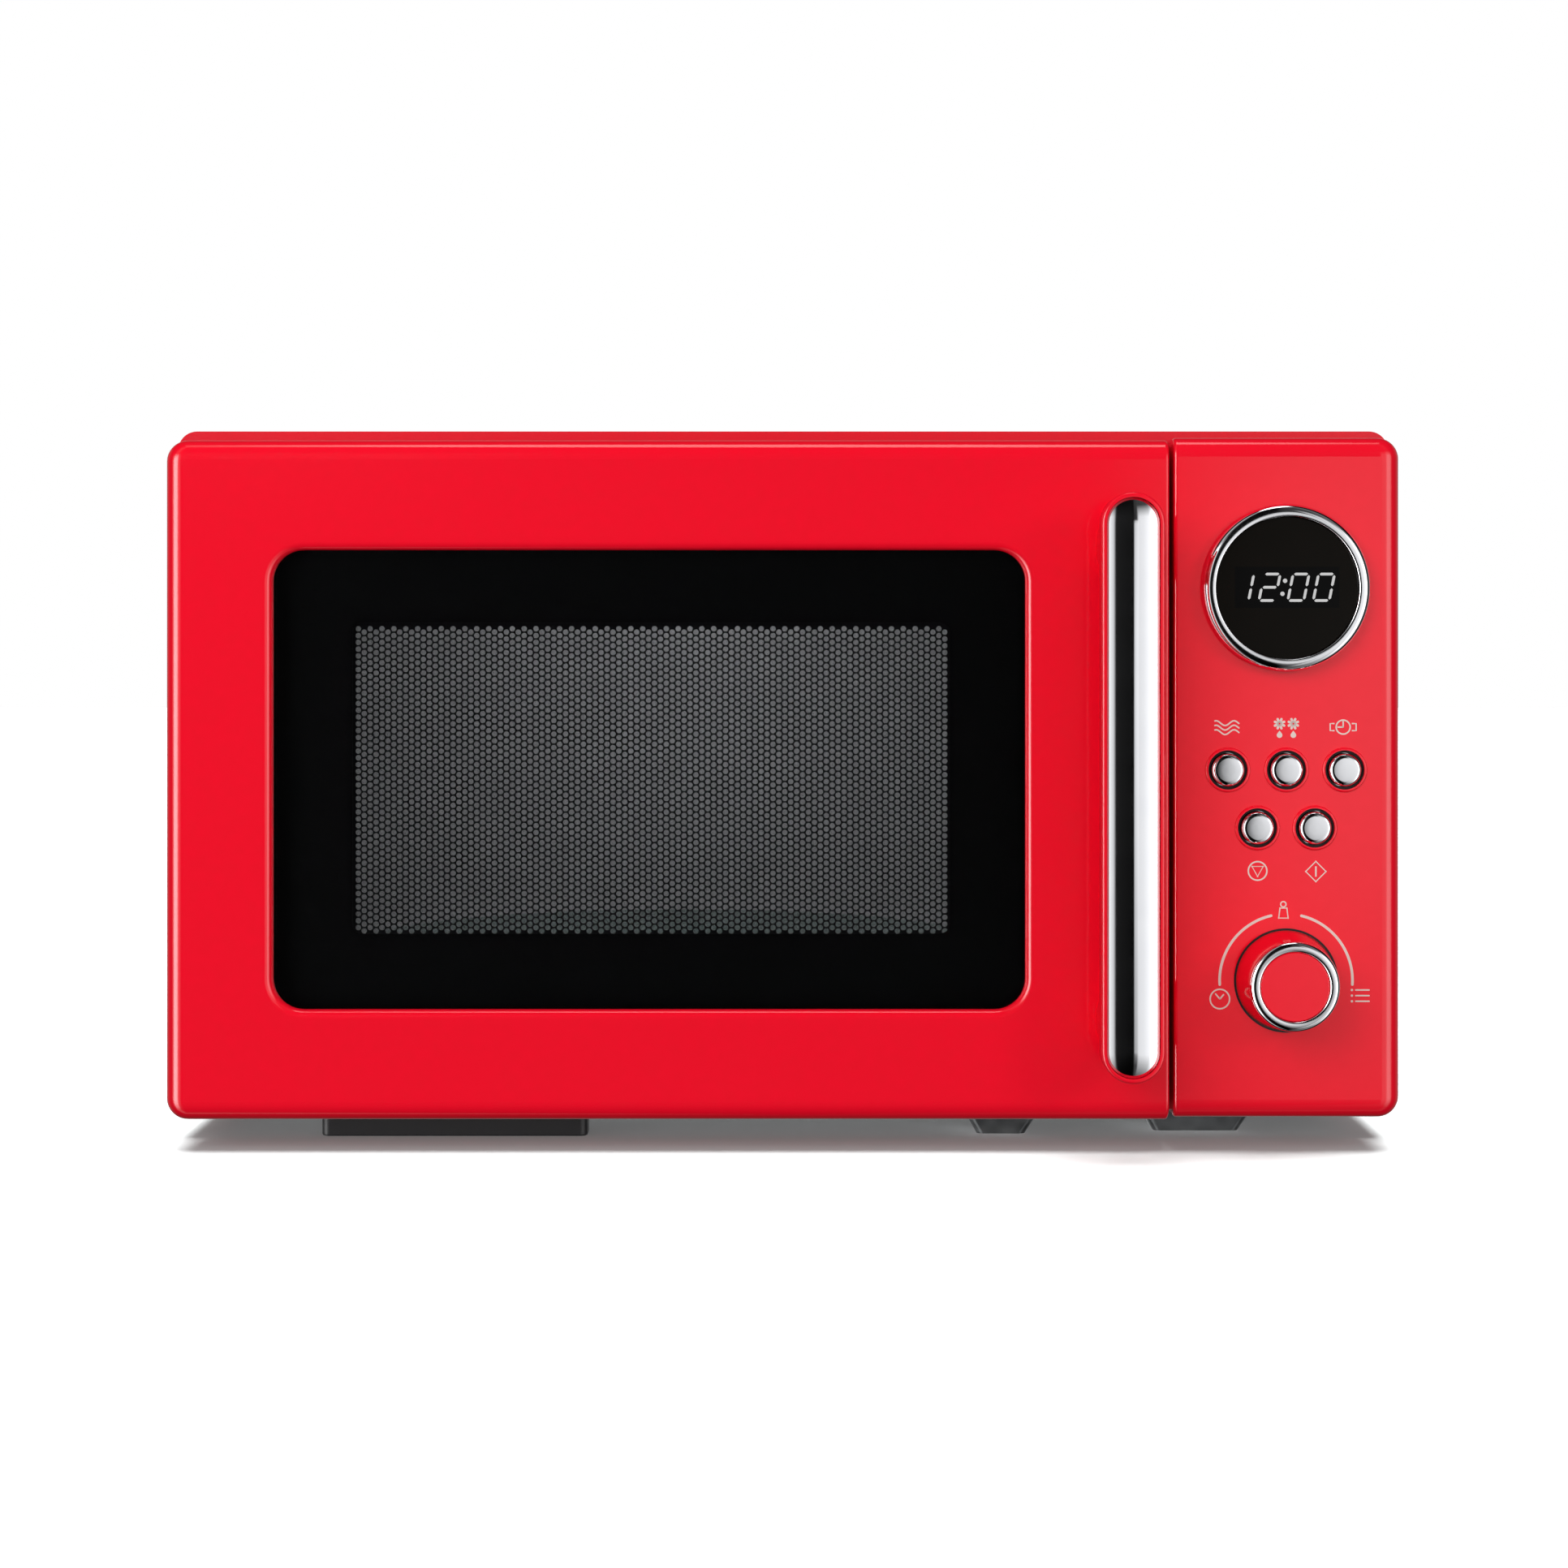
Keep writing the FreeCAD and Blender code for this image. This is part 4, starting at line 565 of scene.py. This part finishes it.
symbols = {"waves": {"at": (157.9, 151.6), "half": 4.25, "swing": 0.85, "crest": 2.54, "length": 6.36, "apart": 1.6},
           "crystals": {"at": ((176.6, 153.0), (181.5, 153.0)), "arm": (0.75, 1.75), "width": 0.86},
           "drops": {"below": 3.8, "tip": 1.35, "round": (0.0, -0.25), "radius": 1.0},
           "timer": {"at": (199.2, 151.8), "radius": 2.48},
           "stop": {"at": (168.8, 100.7), "radius": 3.3},
           "start": {"at": (189.5, 100.5), "reach": 3.6, "bar": 1.6},
           "weight": {"at": (177.95, 83.95), "head": 4.9, "headRadius": 0.95},
           "clock": {"at": (155.4, 55.2), "radius": 3.45},
           "list": {"at": (205.4, 56.4), "apart": 2.0, "line": (-1.7, 3.0), "dot": -3.1, "dotRadius": 0.42},
           "arcs": {"radius": 23.6, "width": 0.95, "turns": ((103.0, 183.5), (76.6, -3.5))}}
stroke = ink["stroke"]
inkShapes = []
# three waves: microwave power
waves = symbols["waves"]
for level in (-waves["apart"], 0.0, waves["apart"]):
    xs = [waves["half"] * (step / 12 - 1) for step in range(25)]
    line = [(x, level + waves["swing"] * math.cos(2 * math.pi * (x - waves["crest"]) / waves["length"])) for x in xs]
    inkShapes += path(shifted(waves["at"], line), stroke)
# two crystals over two drops: defrost
crystals, drops = symbols["crystals"], symbols["drops"]
for x, z in crystals["at"]:
    for step in range(8):
        a = math.radians(22.5 + 45 * step)
        arm = [(r * math.cos(a), r * math.sin(a)) for r in crystals["arm"]]
        inkShapes += path(shifted((x, z), arm), crystals["width"])
    drop = arcPoints(drops["round"], drops["radius"], -200, 25, 15) + [(0.0, drops["tip"])]
    inkShapes += polygon(shifted((x, z - drops["below"]), drop))
# clock with a tab on each side: timer
timerAt = symbols["timer"]["at"]
inkShapes += ring(timerAt, symbols["timer"]["radius"], stroke)
for hand in ([(-1.8, 0), (0, 0)], [(0, 0), (0, 1.95)]):
    inkShapes += path(shifted(timerAt, hand), stroke)
for side in (-1, 1):
    tab = [(side * 3.3, 1.25), (side * 4.6, 1.25), (side * 4.6, -1.25), (side * 3.3, -1.25)]
    inkShapes += path(shifted(timerAt, tab), stroke)
# stop: a ring with a triangle standing on its point
inkShapes += ring(symbols["stop"]["at"], symbols["stop"]["radius"], stroke)
inkShapes += path(shifted(symbols["stop"]["at"], [(-2.0, 1.6), (2.0, 1.6), (0, -1.95)]), stroke, closed=True)
# start: a diamond with an upright bar
start = symbols["start"]
reach = start["reach"]
inkShapes += path(shifted(start["at"], [(-reach, 0), (0, reach), (reach, 0), (0, -reach)]), stroke, closed=True)
inkShapes += path(shifted(start["at"], [(0, -start["bar"]), (0, start["bar"])]), stroke * 1.1)
# kitchen weight: a tapered block with a round head
weight = symbols["weight"]
inkShapes += path(shifted(weight["at"], [(-1.65, 0), (1.7, 0), (1.25, 3.55), (-1.2, 3.55)]), stroke, closed=True)
inkShapes += ring((weight["at"][0], weight["at"][1] + weight["head"]), weight["headRadius"], stroke * 0.9)
# clock left of the dial, list right of it
clockAt = symbols["clock"]["at"]
inkShapes += ring(clockAt, symbols["clock"]["radius"], stroke)
for hand in ([(-1.5, 1.8), (0, 0)], [(0, 0), (1.27, 1.5)]):
    inkShapes += path(shifted(clockAt, hand), stroke)
rows = symbols["list"]
for level in (-rows["apart"], 0.0, rows["apart"]):
    inkShapes += path(shifted(rows["at"], [(x, level) for x in rows["line"]]), stroke)
    inkShapes.append(disc((rows["at"][0] + rows["dot"], rows["at"][1] + level), rows["dotRadius"], ink["front"]))
# two arcs round the dial
arcs = symbols["arcs"]
for first, last in arcs["turns"]:
    inkShapes += path(shifted(dialFront["at"], arcPoints((0, 0), arcs["radius"], first, last, 40)), arcs["width"])
materials["white_plastic.ink"] = makeSurface("ink printed pale grey", {
    # screen printed ink: an even warm white film with a dull skin
    "colour": "#E2CFC8", "secondColour": "#DCC8C0", "grain": (0.6, 0.6, 0.6), "relief": 0.001,
    "pattern": noise, "patternSettings": fine, "roughness": (0.35, 0.5), "shader": {"IOR": 1.48}})
addPiece("panelSymbols", inkShapes, "white_plastic.ink", "chassis")
print("stage: symbols")

# lit clock figures behind the display lens, drawn on its face, on a slightly blacker field
figures = {"middle": 201.4, "height": 10.3, "width": 6.6, "bar": 0.95, "gap": 0.35, "slant": math.radians(11.3),
           "front": frontFace - 5.04, "depth": 0.03, "dot": 0.77, "dotAt": 2.3, "colonAt": -1.2,
           "text": (("1", -12.7), ("2", -6.2), ("0", 4.0), ("0", 13.0)),
           "field": (37.0, 14.5), "fieldFront": frontFace - 5.012, "fieldBack": frontFace - 4.98, "fieldCorner": 0.3}
# the bars of a figure, a to f clockwise from the top and g across the middle, and those lit in each
bars = {"a": ((-1, 1), (1, 1)), "b": ((1, 1), (1, 0)), "c": ((1, 0), (1, -1)), "d": ((-1, -1), (1, -1)),
        "e": ((-1, 0), (-1, -1)), "f": ((-1, 1), (-1, 0)), "g": ((-1, 0), (1, 0))}
lit = {"0": "abcdef", "1": "bc", "2": "abged"}
displayMiddle = bezel["at"][0]
lean = math.tan(figures["slant"])
halfWide = (figures["width"] - figures["bar"]) / 2
halfHigh = (figures["height"] - figures["bar"]) / 2


def figureBar(start, end, centre):
    # one bar of a figure: a long hexagon, slanted with the rest
    (x0, z0), (x1, z1) = [(x * halfWide, z * halfHigh) for x, z in (start, end)]
    size = math.hypot(x1 - x0, z1 - z0)
    ux, uz = (x1 - x0) / size, (z1 - z0) / size
    side = figures["bar"] / 2
    near, far = figures["gap"], size - figures["gap"]
    outline = []
    for along, across in ((near, 0), (near + side, -side), (far - side, -side),
                          (far, 0), (far - side, side), (near + side, side)):
        x = x0 + ux * along - uz * across
        z = z0 + uz * along + ux * across
        outline.append((centre + x + z * lean, figures["middle"] + z))
    loops = [[(x, y, z) for x, z in outline] for y in (figures["front"] + figures["depth"], figures["front"])]
    return loft(loops, capFirst=True, capLast=True)


figureShapes = []
for character, offset in figures["text"]:
    # a one has only its right-hand bars, so it is centred on them
    centre = displayMiddle + offset - (halfWide if character == "1" else 0)
    for bar in lit[character]:
        figureShapes.append(figureBar(*bars[bar], centre))
for side in (-1, 1):
    x = displayMiddle + figures["colonAt"] + side * figures["dotAt"] * lean
    figureShapes.append(disc((x, figures["middle"] + side * figures["dotAt"]), figures["dot"], figures["front"]))


def makeGlow(name, look):
    # lit diode film: an even light with a barely visible grain
    material, tree = startMaterial(name)
    place = addNode(tree, "ShaderNodeTexCoord")
    grain = addNode(tree, noise, {"Scale": 1 / (look["grain"] * mm)}, {"Vector": place.outputs["Object"]})
    level = addNode(tree, "ShaderNodeMapRange", {"To Min": look["level"][0], "To Max": look["level"][1]},
                    {"Value": grain.outputs[0]})
    shader = addNode(tree, "ShaderNodeBsdfPrincipled",
                     {"Base Color": linear("#1A1A1A"), "Roughness": 0.3, "IOR": 1.49,
                      "Emission Color": linear(look["colour"])}, {"Emission Strength": level.outputs["Result"]})
    addNode(tree, "ShaderNodeOutputMaterial", {}, {"Surface": shader.outputs[0]})
    return material


materials["grey_plastic.glow"] = makeGlow("diode film lit pale grey",
                                          {"colour": "#C8C8C8", "grain": 0.8, "level": (0.92, 1.0)})
addPiece("displayFigures", figureShapes, "grey_plastic.glow", "chassis")
fieldWide, fieldHigh = figures["field"]
fieldX = (displayMiddle - fieldWide / 2, displayMiddle + fieldWide / 2)
fieldZ = (figures["middle"] - fieldHigh / 2, figures["middle"] + fieldHigh / 2)
fieldLoops = [roundedLoop(fieldX, fieldZ, figures["fieldCorner"], y, 3)
              for y in (figures["fieldBack"], figures["fieldFront"])]
materials["lens_black.field"] = makeSurface("acrylic black field", {
    # the module's dark window seen through the lens: neutral black, as glossy as the lens
    "colour": "#060606", "secondColour": "#080808", "grain": (9.0, 9.0, 9.0), "relief": 0.001,
    "pattern": noise, "patternSettings": flat, "roughness": (0.04, 0.07),
    "shader": {"IOR": 1.49, "Specular IOR Level": 0.06}})
addPiece("displayField", [loft(fieldLoops, capFirst=True, capLast=True)], "lens_black.field", "chassis")
print("stage: display")

# floor: a sheet of pale matte paper, an even white that shows only the soft shadow, its faint glow keeping it open
floorReach = 6.0
floorMesh = bpy.data.meshes.new("floor")
floorMesh.from_pydata([(-floorReach, -floorReach, 0), (floorReach, -floorReach, 0), (floorReach, floorReach, 0),
                       (-floorReach, floorReach, 0)], [], [(0, 1, 2, 3)])
floor = bpy.data.objects.new("floor", floorMesh)
bpy.context.scene.collection.objects.link(floor)
floorMesh.materials.append(makeSurface("paper pale matte", {
    "colour": "#A5A8A8", "secondColour": "#A3A6A6", "grain": (4.0, 4.0, 4.0), "relief": 0.005,
    "pattern": noise, "patternSettings": fine, "roughness": (0.9, 1.0),
    "shader": {"IOR": 1.4, "Specular IOR Level": 0.0, "Emission Color": (1, 1, 1, 1), "Emission Strength": 0.1}}))
# mirrors and soft bounce take the studio instead, so that the gloss stays clean
floor.visible_glossy = False
floor.visible_diffuse = False

# studio: a white room with softboxes that only mirrors see. A ramp is brightness by bearing from straight ahead,
# or by height above level, in degrees; near and far are two sets of boxes
studio = {"nearBearings": ((-180, 0), (6.4, 0.0), (7.2, 0.5), (9.2, 1.02), (12.5, 1.1), (15, 0), (180, 0)),
          "nearHeights": ((-90, 0.0), (-30, 0.05), (-16, 0.2), (-9.5, 0.34), (-4, 0.76), (0, 0.86), (3.5, 0.66),
                          (7, 0.55), (9, 0.03), (90, 0.03)),
          "farBearings": ((-180, 0.4), (-130, 0.3), (-100, 0.04), (-84, 0.04), (-74, 1.5), (-66, 9.0), (-48, 9.0),
                          (-40, 1.2), (-29, 0.66), (-26, 0.01), (12.5, 0.0), (14.5, 0.85), (24, 0.95), (34, 1.15),
                          (44, 3.0), (60, 2.8), (74, 0.05), (100, 0.04), (130, 0.3), (180, 0.4)),
          "farHeights": ((-90, 0.05), (-50, 0.1), (-26, 0.6), (-12, 0.95), (0, 1.0), (14, 0.95), (34, 0.05),
                         (90, 0.05)),
          "overheadFrom": 0.975, "overheadTo": 0.99, "overhead": 3.0,
          "ambientBase": 0.14, "ambientFront": 1.12, "fromAbove": 0.6}
world = bpy.data.worlds.new("studio")
bpy.context.scene.world = world
world.use_nodes = True
tree = world.node_tree
tree.nodes.clear()
ray = addNode(tree, "ShaderNodeLightPath")
direction = addNode(tree, "ShaderNodeTexCoord")
split = addNode(tree, "ShaderNodeSeparateXYZ", {}, {"Vector": direction.outputs["Generated"]})
away = addNode(tree, "ShaderNodeMath", {"operation": "MULTIPLY", 1: -1.0}, {0: split.outputs["Y"]})
bearing = addNode(tree, "ShaderNodeMath", {"operation": "ARCTAN2"}, {0: split.outputs["X"], 1: away.outputs[0]})
steep = addNode(tree, "ShaderNodeMath", {"operation": "ARCSINE"}, {0: split.outputs["Z"]})


def addRamp(source, half, stops):
    # brightness against an angle: source runs from minus half to plus half
    share = addNode(tree, "ShaderNodeMapRange", {"From Min": -math.radians(half), "From Max": math.radians(half)},
                    {"Value": source})
    ramp = addNode(tree, "ShaderNodeValToRGB", {}, {"Fac": share.outputs["Result"]})
    elements = ramp.color_ramp.elements
    while len(elements) < len(stops):
        elements.new(0.5)
    for element, (angle, level) in zip(elements, stops):
        element.position = (angle + half) / (2 * half)
        element.color = (level, level, level, 1)
    return ramp.outputs["Color"]


near = addNode(tree, "ShaderNodeMath", {"operation": "MULTIPLY"},
               {0: addRamp(bearing.outputs[0], 180, studio["nearBearings"]),
                1: addRamp(steep.outputs[0], 90, studio["nearHeights"])})
boxes = addNode(tree, "ShaderNodeMath", {"operation": "MULTIPLY_ADD"},
                {0: addRamp(bearing.outputs[0], 180, studio["farBearings"]),
                 1: addRamp(steep.outputs[0], 90, studio["farHeights"]), 2: near.outputs[0]})
overhead = addNode(tree, "ShaderNodeMapRange", {"From Min": studio["overheadFrom"], "From Max": studio["overheadTo"],
                                                "To Max": studio["overhead"]}, {"Value": split.outputs["Z"]})
mirrored = addNode(tree, "ShaderNodeMath", {"operation": "ADD"}, {0: boxes.outputs[0], 1: overhead.outputs["Result"]})
# soft light comes mostly from the front and a little more from above
ahead = addNode(tree, "ShaderNodeMath", {"operation": "MAXIMUM", 1: 0.0}, {0: away.outputs[0]})
squared = addNode(tree, "ShaderNodeMath", {"operation": "MULTIPLY"}, {0: ahead.outputs[0], 1: ahead.outputs[0]})
fourth = addNode(tree, "ShaderNodeMath", {"operation": "MULTIPLY"}, {0: squared.outputs[0], 1: squared.outputs[0]})
front = addNode(tree, "ShaderNodeMath", {"operation": "MULTIPLY_ADD", 1: studio["ambientFront"],
                                         2: studio["ambientBase"]}, {0: fourth.outputs[0]})
aloft = addNode(tree, "ShaderNodeMath", {"operation": "MAXIMUM", 1: 0.0}, {0: split.outputs["Z"]})
ambient = addNode(tree, "ShaderNodeMath", {"operation": "MULTIPLY_ADD", 1: studio["fromAbove"]},
                  {0: aloft.outputs[0], 2: front.outputs[0]})
seen = addNode(tree, "ShaderNodeMix", {"data_type": "RGBA"},
               {0: ray.outputs["Is Glossy Ray"], 6: ambient.outputs[0], 7: mirrored.outputs[0]})
shown = addNode(tree, "ShaderNodeMix", {"data_type": "RGBA", 7: (1, 1, 1, 1)},
                {0: ray.outputs["Is Camera Ray"], 6: seen.outputs[2]})
background = addNode(tree, "ShaderNodeBackground", {"Strength": 1.0}, {"Color": shown.outputs[2]})
addNode(tree, "ShaderNodeOutputWorld", {}, {"Surface": background.outputs[0]})

# lamps: two soft ones in front that mirrors do not show, one for the floor, and the oven's own
lamps = {"fill": {"at": (-0.6, -1.15, 0.7), "aim": (-0.12, 0, 0.14), "size": 0.8, "watts": 7.0},
         "key": {"at": (1.5, -1.7, 0.7), "aim": (0.05, 0, 0.12), "size": 0.5, "watts": 6.0},
         "floor": {"spread": 60.0, "strength": 15.0},
         "cavity": {"at": (-0.047, -0.02, 0.215), "size": 0.02, "watts": 1.05, "colour": (0.98, 0.95, 1.0)}}


def addLamp(name, kind, power):
    # a lamp that mirrors do not show: its light and its object
    light = bpy.data.lights.new(name, kind)
    light.energy = power
    lamp = bpy.data.objects.new(name, light)
    lamp.visible_glossy = False
    bpy.context.scene.collection.objects.link(lamp)
    return light, lamp


for name in ("fill", "key"):
    light, lamp = addLamp(name, "AREA", lamps[name]["watts"])
    light.size = lamps[name]["size"]
    lamp.location = lamps[name]["at"]
    aim = Vector(lamps[name]["aim"]) - Vector(lamps[name]["at"])
    lamp.rotation_euler = aim.to_track_quat("-Z", "Y").to_euler()
# an even light from straight above that reaches only the floor and leaves it white but for the oven's shadow
floorLight, sun = addLamp("floorLight", "SUN", lamps["floor"]["strength"])
floorLight.angle = math.radians(lamps["floor"]["spread"])
receivers = bpy.data.collections.new("floorOnly")
receivers.objects.link(floor)
sun.light_linking.receiver_collection = receivers
glowLight, glow = addLamp("cavityLamp", "POINT", lamps["cavity"]["watts"])
glowLight.shadow_soft_size = lamps["cavity"]["size"]
glowLight.color = lamps["cavity"]["colour"]
glow.location = lamps["cavity"]["at"]
glow.visible_camera = False

# camera: level, straight ahead, its frame shifted to hold the oven in the middle
shot = {"at": (0.0069, -1.2225, 0.1864), "lens": 69.6, "sensor": 36.0, "shiftX": -0.0114, "shiftY": -0.0984}
cameraData = bpy.data.cameras.new("camera")
cameraData.lens = shot["lens"]
cameraData.sensor_width = shot["sensor"]
cameraData.shift_x = shot["shiftX"]
cameraData.shift_y = shot["shiftY"]
camera = bpy.data.objects.new("camera", cameraData)
camera.location = shot["at"]
camera.rotation_euler = (math.radians(90), 0, 0)
bpy.context.scene.collection.objects.link(camera)
bpy.context.scene.camera = camera
bpy.context.scene.view_settings.view_transform = "Standard"
print("stage: studio")

bpy.context.view_layer.update()
